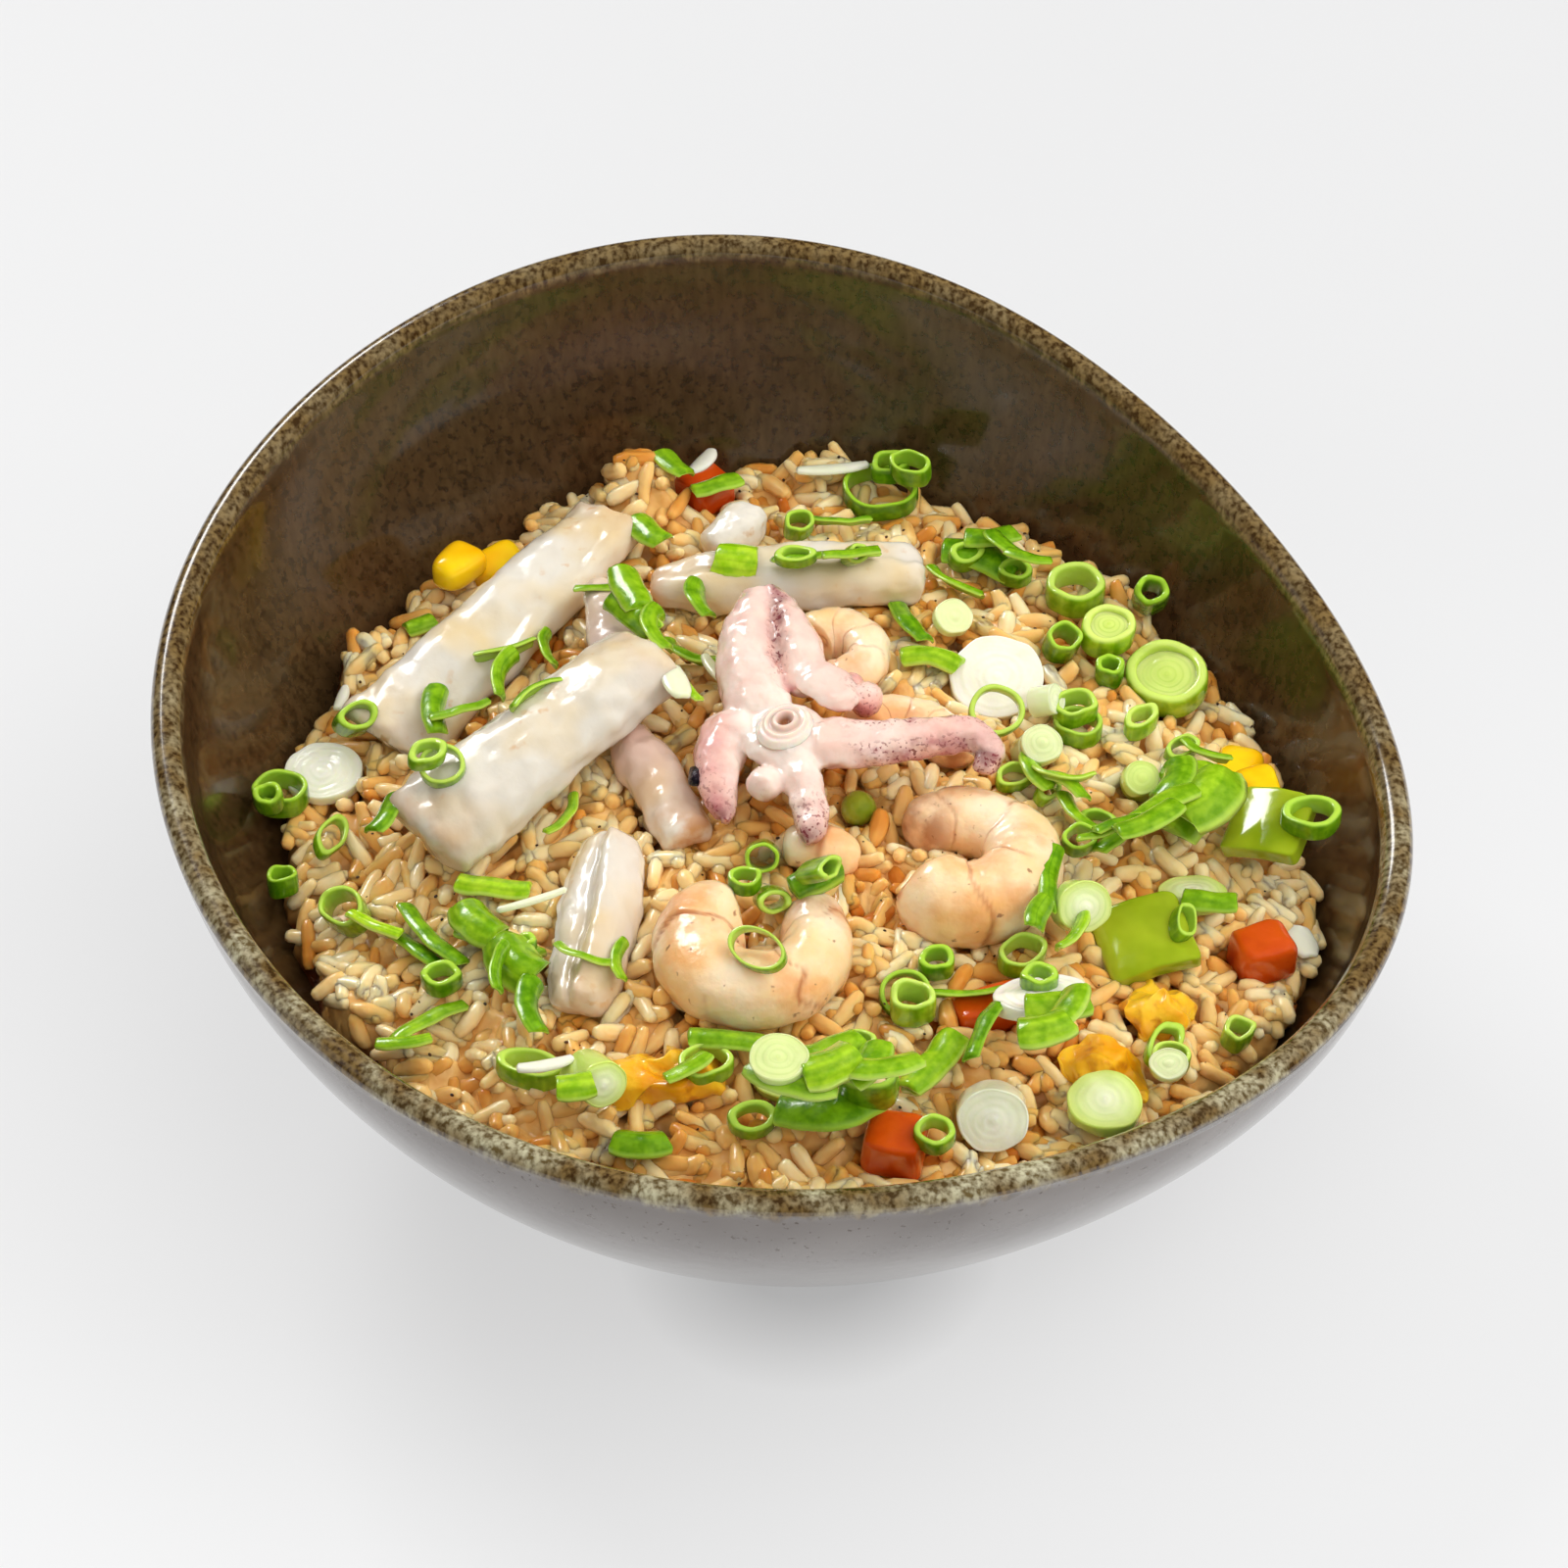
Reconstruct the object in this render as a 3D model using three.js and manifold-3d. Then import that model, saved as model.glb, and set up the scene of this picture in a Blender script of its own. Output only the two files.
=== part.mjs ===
// Seafood fried rice in a slanted stoneware bowl, in millimetres, +Z up.
// The origin is the centre of the bowl's flat foot; +X is the diner's right and +Y points away from the diner.
import * as THREE from 'three';
import { mergeVertices } from 'three/addons/utils/BufferGeometryUtils.js';
import Module from 'manifold-3d';

const wasm = await Module();
wasm.setup();

const TAU = 2 * Math.PI;
const UP = new THREE.Vector3(0, 0, 1);

// The bowl: a hand-thrown rim that runs out of round and climbs towards the back.
const RIM_RADIUS = 100;
const RIM_WAVES = [[-0.054, 0.049], [0.019, -0.030], [0.014, 0.001], [0.007, -0.005]];
const RIM_HEIGHT = 73.8;
const RIM_SLANT = { right: -7.3, back: 16.7, saddle: -6.6, twist: -1.1 };
const FOOT_RADIUS = 51.5;
const FOOT_ROUNDING = 1.5;
const WALL_CURVE = 1.74;
const WALL = 5;
const FLOOR = 6;
const FLOOR_RADIUS = 48;
const BOWL_COLUMNS = 48;

// The rice: a low mound that meets the wall higher at the back left than at the front right.
const RICE_GAP = 0.8;
const RICE_RINGS = 24;
const RICE_EDGE = { level: 47.7, right: -3.75, back: 4.5, saddle: -5.5 };
const RICE_RISE = 12;
const GRAIN_RELIEF = 1.3;
const CLUMPS = [
  { x: -31, y: 76, height: 7, radius: 9 },
  { x: -80, y: 42, height: 5, radius: 7 },
  { x: 4, y: 82, height: 3, radius: 8 },
];

// How the toppings lie: the gap kept between pieces, and the cells of the map that finds it.
const GAP = 0.35;
const CELL = 0.6;
const MAP_HALF = 120;
const GRAIN_REACH = 5;
const MIDDLE_OF_RICE = 88;

// A repeatable draw between 0 and 1.
let seed = 7;
function draw() {
  seed = (seed * 1103515245 + 12345) % 2147483648;
  return seed / 2147483648;
}

function rimRadius(angle) {
  return RIM_WAVES.reduce(
    (sum, [a, b], k) => sum + RIM_RADIUS * (a * Math.cos((k + 1) * angle) + b * Math.sin((k + 1) * angle)),
    RIM_RADIUS,
  );
}

function rimHeight(angle) {
  return RIM_HEIGHT + RIM_SLANT.right * Math.cos(angle) + RIM_SLANT.back * Math.sin(angle)
    + RIM_SLANT.saddle * Math.cos(2 * angle) + RIM_SLANT.twist * Math.sin(2 * angle);
}

// The wall swells out fast above the foot and stands upright at the rim.
function outerRadius(angle, t) {
  return FOOT_RADIUS + (rimRadius(angle) - FOOT_RADIUS) * (1 - (1 - t) ** WALL_CURVE);
}

function innerRadius(angle, z) {
  const t = THREE.MathUtils.clamp((z - FLOOR) / (rimHeight(angle) - FLOOR), 0, 1);
  return FLOOR_RADIUS + (rimRadius(angle) - WALL - FLOOR_RADIUS) * (1 - (1 - t) ** WALL_CURVE);
}

// A closed geometry from its corners, turned so that its faces point out.
function geometryOf(positions, indices) {
  let volume = 0;
  for (let face = 0; face < indices.length; face += 3) {
    const [a, b, c] = [0, 1, 2].map((k) => new THREE.Vector3(...positions[indices[face + k]]));
    volume += a.dot(b.cross(c));
  }
  const geometry = new THREE.BufferGeometry();
  geometry.setAttribute('position', new THREE.Float32BufferAttribute(positions.flat(), 3));
  geometry.setIndex(volume > 0 ? indices : [...indices].reverse());
  return geometry;
}

// Joins rings of points into a closed skin, with a single point at each end.
function skin(first, rings, last) {
  const sides = rings[0].length;
  const positions = [first, ...rings.flat(), last];
  const indices = [];
  const at = (ring, side) => 1 + ring * sides + (side % sides);
  for (let side = 0; side < sides; side += 1) {
    indices.push(0, at(0, side + 1), at(0, side));
    for (let ring = 0; ring + 1 < rings.length; ring += 1) {
      indices.push(at(ring, side), at(ring, side + 1), at(ring + 1, side + 1));
      indices.push(at(ring, side), at(ring + 1, side + 1), at(ring + 1, side));
    }
    indices.push(positions.length - 1, at(rings.length - 1, side), at(rings.length - 1, side + 1));
  }
  return geometryOf(positions, indices);
}

function finish(color, roughness) {
  return new THREE.MeshStandardMaterial({ color, roughness, metalness: 0 });
}

const stoneware = finish(0x4b3a2a, 0.3);
const cookedRice = finish(0xd9b27c, 0.5);
const squidFlesh = finish(0xece2d2, 0.3);
const tentacleSkin = finish(0xd9a39c, 0.35);
const shrimpFlesh = finish(0xe8b48c, 0.35);
const cornYellow = finish(0xf2b61c, 0.3);
const pepperGreen = finish(0x8fb52a, 0.3);
const carrotOrange = finish(0xe2601e, 0.4);
const peaGreen = finish(0x9aa632, 0.4);
const eggYellow = finish(0xe9b348, 0.5);
const onionWhite = finish(0xe9efd0, 0.35);
const onionGreen = finish(0x4d9a1a, 0.35);

const dish = new THREE.Group();

// The bowl's skin runs from the middle of the foot, up the outside, over the rim and down the inside.
function bowlSkin() {
  const columns = Array.from({ length: BOWL_COLUMNS }, (_, i) => (i * TAU) / BOWL_COLUMNS);
  const ringAt = (radius, height) => columns.map((angle) => {
    const r = radius(angle);
    return [r * Math.cos(angle), r * Math.sin(angle), height(angle)];
  });
  const rings = [ringAt(() => FOOT_RADIUS - FOOT_ROUNDING, () => 0)];
  for (const t of [0.03, 0.14, 0.27, 0.42, 0.58, 0.76, 0.92]) {
    rings.push(ringAt((angle) => outerRadius(angle, t), (angle) => t * rimHeight(angle)));
  }
  for (const turn of [0.12, 0.5, 0.88]) {
    const lean = Math.cos(turn * Math.PI);
    rings.push(ringAt(
      (angle) => rimRadius(angle) - (WALL / 2) * (1 - lean),
      (angle) => rimHeight(angle) - (WALL / 2) * (1 - Math.sin(turn * Math.PI)),
    ));
  }
  for (const t of [0.9, 0.72, 0.54, 0.38, 0.24, 0.11, 0]) {
    const height = (angle) => FLOOR + t * (rimHeight(angle) - FLOOR);
    rings.push(ringAt((angle) => innerRadius(angle, height(angle)), height));
  }
  return skin([0, 0, 0], rings, [0, 0, FLOOR]);
}

// The smooth mound that the toppings lie on.
function moundHeight(x, y) {
  const u = x / MIDDLE_OF_RICE;
  const v = y / MIDDLE_OF_RICE;
  let z = RICE_EDGE.level + RICE_EDGE.right * u + RICE_EDGE.back * v + RICE_EDGE.saddle * (u * u - v * v);
  z += RICE_RISE * (1 - Math.min(1, u * u + v * v));
  for (const clump of CLUMPS) {
    const reach = Math.hypot(x - clump.x, y - clump.y) / clump.radius;
    z += clump.height * Math.exp(-reach * reach);
  }
  return z;
}

// Height maps of what lies in the bowl so far: the highest point, and the lowest of the toppings.
const MAP_SIZE = Math.round((2 * MAP_HALF) / CELL);
const tops = new Float32Array(MAP_SIZE * MAP_SIZE).fill(-Infinity);
const undersides = new Float32Array(MAP_SIZE * MAP_SIZE).fill(Infinity);

function cellOf(x, y) {
  return Math.floor((y + MAP_HALF) / CELL) * MAP_SIZE + Math.floor((x + MAP_HALF) / CELL);
}

// Visits points spread over every face of a placed mesh.
function eachSurfacePoint(mesh, visit) {
  mesh.updateMatrixWorld();
  const position = mesh.geometry.getAttribute('position');
  const index = mesh.geometry.getIndex();
  const corners = [new THREE.Vector3(), new THREE.Vector3(), new THREE.Vector3()];
  for (let face = 0; face < index.count; face += 3) {
    corners.forEach((corner, k) => {
      corner.fromBufferAttribute(position, index.getX(face + k)).applyMatrix4(mesh.matrixWorld);
    });
    const [a, b, c] = corners;
    const longest = Math.max(a.distanceTo(b), b.distanceTo(c), c.distanceTo(a));
    const steps = Math.ceil(longest / (0.7 * CELL));
    for (let i = 0; i <= steps; i += 1) {
      for (let j = 0; i + j <= steps; j += 1) {
        const u = i / steps;
        const v = j / steps;
        const w = 1 - u - v;
        visit(a.x * w + b.x * u + c.x * v, a.y * w + b.y * u + c.y * v, a.z * w + b.z * u + c.z * v);
      }
    }
  }
}

function noteTops(mesh) {
  eachSurfacePoint(mesh, (x, y, z) => {
    const cell = cellOf(x, y);
    tops[cell] = Math.max(tops[cell], z);
  });
}

// Raises a topping until it clears the pieces already there, then notes it on the maps.
function settle(mesh) {
  let lift = 0;
  eachSurfacePoint(mesh, (x, y, z) => {
    const cell = cellOf(x, y);
    for (const step of [0, 1, -1, MAP_SIZE, -MAP_SIZE, MAP_SIZE + 1, MAP_SIZE - 1, 1 - MAP_SIZE, -1 - MAP_SIZE]) {
      lift = Math.max(lift, tops[cell + step] + GAP - z);
    }
  });
  mesh.position.z += lift;
  noteTops(mesh);
  eachSurfacePoint(mesh, (x, y, z) => {
    const cell = cellOf(x, y);
    undersides[cell] = Math.min(undersides[cell], z);
  });
}

// Adds a topping whose own origin goes to x, y and a height over the mound.
function lay(name, material, geometry, { x, y, over, heading = 0, tilt = 0, pitch = 0 }) {
  const mesh = new THREE.Mesh(geometry, material);
  mesh.name = name;
  mesh.position.set(x, y, moundHeight(x, y) + over);
  mesh.rotation.order = 'ZYX';
  mesh.rotation.set(THREE.MathUtils.degToRad(tilt), THREE.MathUtils.degToRad(pitch), THREE.MathUtils.degToRad(heading));
  settle(mesh);
  dish.add(mesh);
  return mesh;
}

// A rounded bar along a curve. Each stop is [x, y, height over the mound, half width, half thickness].
function bar(stops, { steps = 8, sides = 8, square = 2.6, blunt = 0.6, roll = 0 }) {
  const centre = stops[Math.floor(stops.length / 2)];
  const base = moundHeight(centre[0], centre[1]) + centre[2];
  const line = new THREE.CatmullRomCurve3(stops.map(([x, y, over]) => (
    new THREE.Vector3(x - centre[0], y - centre[1], moundHeight(x, y) + over - base)
  )));
  const halves = new THREE.CatmullRomCurve3(stops.map((stop) => new THREE.Vector3(stop[3], stop[4], 0)));
  const rings = [];
  for (let step = 0; step <= steps; step += 1) {
    const s = step / steps;
    const along = line.getTangent(s);
    const side = new THREE.Vector3().crossVectors(along, UP).normalize();
    side.applyAxisAngle(along, THREE.MathUtils.degToRad(roll));
    const lift = new THREE.Vector3().crossVectors(side, along).normalize();
    const half = halves.getPoint(s);
    const end = step === 0 || step === steps ? blunt : 1;
    const middle = line.getPoint(s);
    rings.push(Array.from({ length: sides }, (_, i) => {
      const angle = ((i + 0.5) * TAU) / sides;
      const across = Math.sign(Math.cos(angle)) * Math.abs(Math.cos(angle)) ** (2 / square);
      const upward = Math.sign(Math.sin(angle)) * Math.abs(Math.sin(angle)) ** (2 / square);
      return middle.clone()
        .addScaledVector(side, half.x * end * across)
        .addScaledVector(lift, half.y * end * upward)
        .toArray();
    }));
  }
  const reach = (s, sign) => line.getPoint(s)
    .addScaledVector(line.getTangent(s), sign * 0.35 * halves.getPoint(s).y).toArray();
  return { geometry: skin(reach(0, -1), rings, reach(1, 1)), at: { x: centre[0], y: centre[1], over: centre[2] } };
}

function layBar(name, material, stops, options = {}) {
  const { geometry, at } = bar(stops, options);
  return lay(name, material, geometry, at);
}

// A rounded lump: half sizes along its own axes, from a ball (2) towards a dice (6).
function lump(a, b, c, square = 2, rows = 5, sides = 8, rough = 0) {
  const power = (value) => Math.sign(value) * Math.abs(value) ** (2 / square);
  const rings = [];
  for (let row = 1; row < rows; row += 1) {
    const polar = Math.PI * (row / rows - 0.5);
    rings.push(Array.from({ length: sides }, (_, i) => {
      const angle = ((i + 0.5) * TAU) / sides;
      const swell = 1 + rough * (draw() - 0.5);
      const flat = power(Math.cos(polar)) * swell;
      return [a * flat * power(Math.cos(angle)), b * flat * power(Math.sin(angle)), c * power(Math.sin(polar)) * swell];
    }));
  }
  return skin([0, 0, -c], rings, [0, 0, c]);
}

// A cut ring of spring onion, its stem squeezed out of round.
function onionRing(radius, wall, height, squeeze = 0.85, sides = 10) {
  const profile = [[radius, 0], [radius, height], [radius - wall, height], [radius - wall, 0]];
  const positions = [];
  const indices = [];
  for (let side = 0; side < sides; side += 1) {
    const angle = (side * TAU) / sides;
    for (const [r, z] of profile) {
      positions.push([r * Math.cos(angle), squeeze * r * Math.sin(angle), z - height / 2]);
    }
    for (let k = 0; k < 4; k += 1) {
      const here = side * 4 + k;
      const next = ((side + 1) % sides) * 4 + k;
      const hereUp = side * 4 + ((k + 1) % 4);
      const nextUp = ((side + 1) % sides) * 4 + ((k + 1) % 4);
      indices.push(here, next, nextUp, here, nextUp, hereUp);
    }
  }
  return geometryOf(positions, indices);
}

// A slice across the white of a spring onion, with its cut edges just eased.
function onionSlice(radius, thickness, squeeze = 0.9) {
  const sides = 12;
  const ease = 0.4;
  const ring = (r, z) => Array.from({ length: sides }, (_, i) => {
    const angle = (i * TAU) / sides;
    return [r * Math.cos(angle), squeeze * r * Math.sin(angle), z];
  });
  const half = thickness / 2;
  return skin(
    [0, 0, -half],
    [ring(radius - ease, -half), ring(radius, ease - half), ring(radius, half - ease), ring(radius - ease, half)],
    [0, 0, half],
  );
}

// A peeled shrimp curled on its side. It narrows from the head end to the tail round one open turn.
function shrimp(outer, headHalf, tailHalf, start, sweep, rows = 11, sides = 9) {
  const rings = [];
  const middleAt = (s) => {
    const half = THREE.MathUtils.lerp(headHalf, tailHalf, s ** 1.4);
    const angle = THREE.MathUtils.degToRad(start + sweep * s);
    return { half, angle, radius: outer - half };
  };
  for (let row = 0; row <= rows; row += 1) {
    const { half, angle, radius } = middleAt(row / rows);
    const segment = row % 2 === 0 ? 1 : 0.94;
    const end = row === 0 || row === rows ? 0.66 : segment;
    rings.push(Array.from({ length: sides }, (_, i) => {
      const around = (i * TAU) / sides;
      const r = radius + half * end * Math.cos(around);
      return [r * Math.cos(angle), r * Math.sin(angle), half * end * 0.95 * Math.sin(around)];
    }));
  }
  const tip = (s, sign) => {
    const { half, angle, radius } = middleAt(s);
    const ahead = angle + (sign * Math.sign(sweep) * 0.3 * half) / radius;
    return [radius * Math.cos(ahead), radius * Math.sin(ahead), 0];
  };
  return skin(tip(0, -1), rings, tip(1, 1));
}

// A closed geometry as a solid that can be joined, and back.
function solidOf(geometry, matrix = new THREE.Matrix4()) {
  const bare = geometry.clone().applyMatrix4(matrix);
  const merged = mergeVertices(bare, 1e-4);
  return new wasm.Manifold(new wasm.Mesh({
    numProp: 3,
    vertProperties: Float32Array.from(merged.getAttribute('position').array),
    triVerts: Uint32Array.from(merged.getIndex().array),
  }));
}

function geometryFrom(solid) {
  const { vertProperties, triVerts } = solid.getMesh();
  const geometry = new THREE.BufferGeometry();
  geometry.setAttribute('position', new THREE.Float32BufferAttribute(Float32Array.from(vertProperties), 3));
  geometry.setIndex([...triVerts]);
  return geometry;
}

const bowl = new THREE.Mesh(bowlSkin(), stoneware);
bowl.name = 'bowl';
dish.add(bowl);
noteTops(bowl);

// Diced and shelled vegetables.
const dice = [
  ['corn_back_1', cornYellow, [5, 3.9, 3.2, 2.4], { x: -54.5, y: 61, over: 2, heading: 30, tilt: 20 }],
  ['corn_back_2', cornYellow, [4.6, 3.8, 3, 2.4], { x: -60.5, y: 55.5, over: 1.5, heading: 55 }],
  ['corn_right_1', cornYellow, [4.6, 4, 3.2, 2.4], { x: 72.5, y: 18, over: 2.5, heading: 70 }],
  ['corn_right_2', cornYellow, [4.4, 3.6, 3, 2.4], { x: 74.5, y: 9.5, over: 1.5, heading: 110 }],
  ['pepper_right', pepperGreen, [6.6, 6, 2.4, 4], { x: 75.5, y: -1.5, over: 4, heading: -25, tilt: 20 }],
  ['pepper_front', pepperGreen, [7.4, 6.6, 2.4, 4], { x: 54, y: -26, over: 2.5, heading: 15, tilt: 14 }],
  ['carrot_right', carrotOrange, [5, 4.2, 3.8, 4], { x: 73.5, y: -22, over: 2, heading: 20 }],
  ['carrot_front', carrotOrange, [4.8, 4.4, 3.8, 4], { x: 13, y: -71.5, over: 2, heading: -15 }],
  ['carrot_middle', carrotOrange, [6.5, 3.4, 3, 4], { x: 29, y: -43.5, over: 1, heading: 20 }],
  ['carrot_back', carrotOrange, [4.4, 4, 3.4, 4], { x: -18.5, y: 77, over: 2, heading: 40 }],
  ['pea_middle', peaGreen, [3, 3, 2.8, 2], { x: 8, y: -4, over: 1, heading: 0 }],
  ['pea_right', peaGreen, [3.4, 3.2, 3, 2], { x: 55, y: 9.5, over: 2, heading: 0 }],
  ['egg_front', eggYellow, [9.5, 4.6, 3, 2.4, 5, 9, 0.24], { x: -22.5, y: -58.5, over: 1.4, heading: 8 }],
  ['egg_right_1', eggYellow, [7.5, 4.4, 2.8, 2.4, 5, 8, 0.3], { x: 46, y: -53, over: 2, heading: -35 }],
  ['egg_right_2', eggYellow, [6, 5, 3, 2.4, 5, 8, 0.3], { x: 55.5, y: -39.5, over: 2, heading: 30 }],
];
for (const [name, material, shape, place] of dice) {
  lay(name, material, lump(...shape), place);
}

// Squid body cut in strips, the lower ones first.
layBar('squid_back_left', squidFlesh, [
  [-69, 18, 4, 8, 3.6], [-54, 38, 4.5, 8.8, 4], [-34, 64.5, 5, 7.8, 3.6],
], { steps: 9, sides: 10, square: 3.4, blunt: 0.8 });
layBar('squid_between', squidFlesh, [[-57, 9, 3, 4, 2.4], [-46, 17, 3.5, 4.6, 2.6], [-38, 25, 4, 4, 2.2]], {});
layBar('squid_pink', squidFlesh, [[-35, 46, 4, 3.6, 1.6], [-32.5, 33, 5, 4.6, 2.2], [-32, 20, 4, 4, 2]], {});
layBar('squid_tapered', squidFlesh, [[-29, 11, 4, 3.8, 2.8], [-24, -2, 3.5, 4.6, 3.2], [-19, -13, 3, 3.8, 3]], {
  blunt: 0.75,
});
layBar('squid_rolled', squidFlesh, [
  [-31.5, -12, 4, 5.4, 3.4], [-33.5, -27, 3.6, 6.4, 4], [-36.5, -47, 3, 5.2, 3.6],
], { steps: 8, sides: 10, square: 2.6, blunt: 0.75 });
layBar('squid_right_back', squidFlesh, [
  [-26, 47.5, 4.5, 5.4, 3.4], [-4, 48, 5.5, 6.4, 4], [19, 52, 4.5, 5.6, 3.6],
], { steps: 9, sides: 10, square: 3.2, blunt: 0.8 });
layBar('squid_stub', squidFlesh, [[-17, 58.5, 2.5, 3.4, 3], [-12.5, 63, 4, 4.2, 3.8], [-11, 67, 4, 3.8, 3.4]], { steps: 5 });

// Five peeled shrimps.
const shrimps = [
  { name: 'shrimp_front', x: -7, y: -38, over: 5, shape: [15.8, 7.2, 4.4, 112, 300] },
  { name: 'shrimp_right', x: 25, y: -17.5, over: 4, shape: [16, 7.4, 4.6, 215, 285] },
  { name: 'shrimp_middle', x: 15, y: 8.5, over: 2, shape: [12.5, 5.5, 4, 150, -160] },
  { name: 'shrimp_back', x: 4, y: 30.5, over: 3, shape: [10, 4.8, 3.4, 140, -250] },
];
for (const { name, x, y, over, shape } of shrimps) {
  lay(name, shrimpFlesh, shrimp(...shape), { x, y, over });
}
layBar('shrimp_tail', shrimpFlesh, [[-4, -14.5, 3, 3.6, 3], [1.5, -15.5, 3.4, 4.4, 3.6], [8, -17.5, 3, 3.2, 2.6]], {
  steps: 6, square: 2,
});

layBar('squid_front_left', squidFlesh, [
  [-63.5, -11.5, 5, 7.6, 4.2], [-45, 3, 6.5, 7.8, 4.4], [-27, 20, 8.5, 7.4, 4.2],
], { steps: 9, sides: 10, square: 3.4, blunt: 0.8 });

// The crown of tentacles: a webbed mouth ring with arms, all of one piece.
const CROWN = { x: -4, y: 1.5, over: 11.5 };
const MOUTH_RADIUS = 7.6;
const arms = [
  [[-1, 4, 0, 5, 3.6], [-4, 18, 1.5, 4.6, 4], [-3, 31, 3.5, 2.6, 2.6]],
  [[-3, 30, 3.4, 2.8, 2.6], [3.5, 21, 2.5, 3.2, 2.8], [5, 10, 1, 2.8, 2.6]],
  [[-5, 4, -1, 4, 3], [-10.5, -2, -2.4, 4, 3.4], [-10, -13.5, -4, 2, 2]],
  [[1, -4, -1, 3.6, 3], [3, -12, -2.4, 3, 2.8], [4, -20, -3.6, 2.6, 2.4]],
  [[4, 0, -0.5, 4.8, 3.6], [17, -0.5, -0.8, 4.2, 3.2], [32, 0, -0.6, 3.2, 3]],
  [[4, 2, 0.5, 4, 2.6], [9, 4.5, 0, 3.6, 2.4], [13, 5.5, -0.6, 2.4, 2]],
];
function armSolid(stops) {
  const flat = stops.map(([x, y, z, half, thick]) => [
    x, y, z - moundHeight(x, y) + moundHeight(stops[1][0], stops[1][1]) - stops[1][2], half, thick,
  ]);
  const { geometry } = bar(flat, { steps: 5, sides: 6, square: 2, blunt: 0.7 });
  return solidOf(geometry, new THREE.Matrix4().makeTranslation(stops[1][0], stops[1][1], stops[1][2]));
}
let crown = solidOf(lump(MOUTH_RADIUS, MOUTH_RADIUS, 3.6, 2.4, 4, 10));
for (const arm of arms) {
  crown = crown.add(armSolid(arm));
}
const knobs = [{ x: 12.5, y: 8.5, z: -0.5, radius: 3.3 }, { x: -3.4, y: -8.6, z: -1.5, radius: 3 }];
for (const knob of knobs) {
  const ball = lump(knob.radius, knob.radius, knob.radius, 2, 4, 7);
  crown = crown.add(solidOf(ball, new THREE.Matrix4().makeTranslation(knob.x, knob.y, knob.z)));
}
lay('tentacles', tentacleSkin, geometryFrom(crown), CROWN);

// Slices across the white of spring onions.
const slices = [
  ['white_slice_large', [8, 2.4], { x: 31.5, y: 28.5, over: 3, tilt: 28, heading: 10 }],
  ['white_slice_left', [6.6, 2.2], { x: -81.5, y: 14, over: 2.5, tilt: 12 }],
  ['white_slice_front_1', [6.6, 6], { x: 28, y: -66, over: 3.6, tilt: 20 }],
  ['white_slice_front_2', [7.6, 2.4], { x: 36, y: -49, over: 5, tilt: -36, heading: 12 }],
  ['white_slice_right_1', [5.8, 2.2], { x: 62.5, y: -14, over: 2.5, tilt: -16, heading: -5 }],
  ['white_slice_right_2', [4.6, 4.6], { x: 43, y: -28.5, over: 4.5, tilt: 50, heading: 25 }],
  ['white_slice_front_3', [5.8, 3], { x: 45.5, y: -63, over: 2, tilt: 8 }],
  ['white_slice_front_4', [4.4, 3.4], { x: -4.5, y: -60, over: 2, tilt: 10 }],
  ['white_tube_front', [4, 8], { x: -33, y: -65, over: 3.4, tilt: 62, heading: 28 }],
  ['white_tube_right', [3.7, 5.4], { x: 37.5, y: 12, over: 3, tilt: 40, heading: 20 }],
];
for (const [name, shape, place] of slices) {
  lay(name, onionWhite, onionSlice(...shape), place);
}

// Spring onion greens: wide rings, then split lengths of leaf.
const rings = [
  ['green_ring_wide', [7, 1.1, 5.4, 0.9], { x: 61, y: 35.5, over: 4, tilt: 24, heading: -12 }],
  ['green_ring_beside', [4.8, 1, 5, 0.9], { x: 51, y: 41.5, over: 4, tilt: 24, heading: 14 }],
  ['green_ring_back', [4.6, 0.9, 3.4, 1], { x: 46, y: 53, over: 5.2, tilt: 52, heading: 8 }],
  ['green_ring_wall', [6.4, 1, 3.2, 0.8], { x: 12.5, y: 75, over: 4, tilt: 26, heading: -10 }],
  ['green_ring_on_slice', [4.7, 0.8, 2, 0.95], { x: 31, y: 15.5, over: 4, tilt: 20, heading: 40 }],
  ['green_ring_on_shrimp', [5.2, 0.8, 2, 0.62], { x: -8, y: -46.5, over: 12, tilt: 26, heading: -36 }],
  ['green_ring_on_squid', [3.8, 0.9, 2.6, 0.95], { x: -59, y: -6.5, over: 10, tilt: 24, heading: 0 }],
  ['green_ring_middle', [4.1, 0.7, 2.4, 0.9], { x: 15, y: -43.5, over: 2.2, tilt: 18, heading: 15 }],
  ['green_ring_right', [3.6, 0.8, 3, 0.9], { x: 45, y: 20, over: 2.5, tilt: 10, heading: 0 }],
];
for (const [name, shape, place] of rings) {
  lay(name, onionGreen, onionRing(...shape), place);
}
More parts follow.
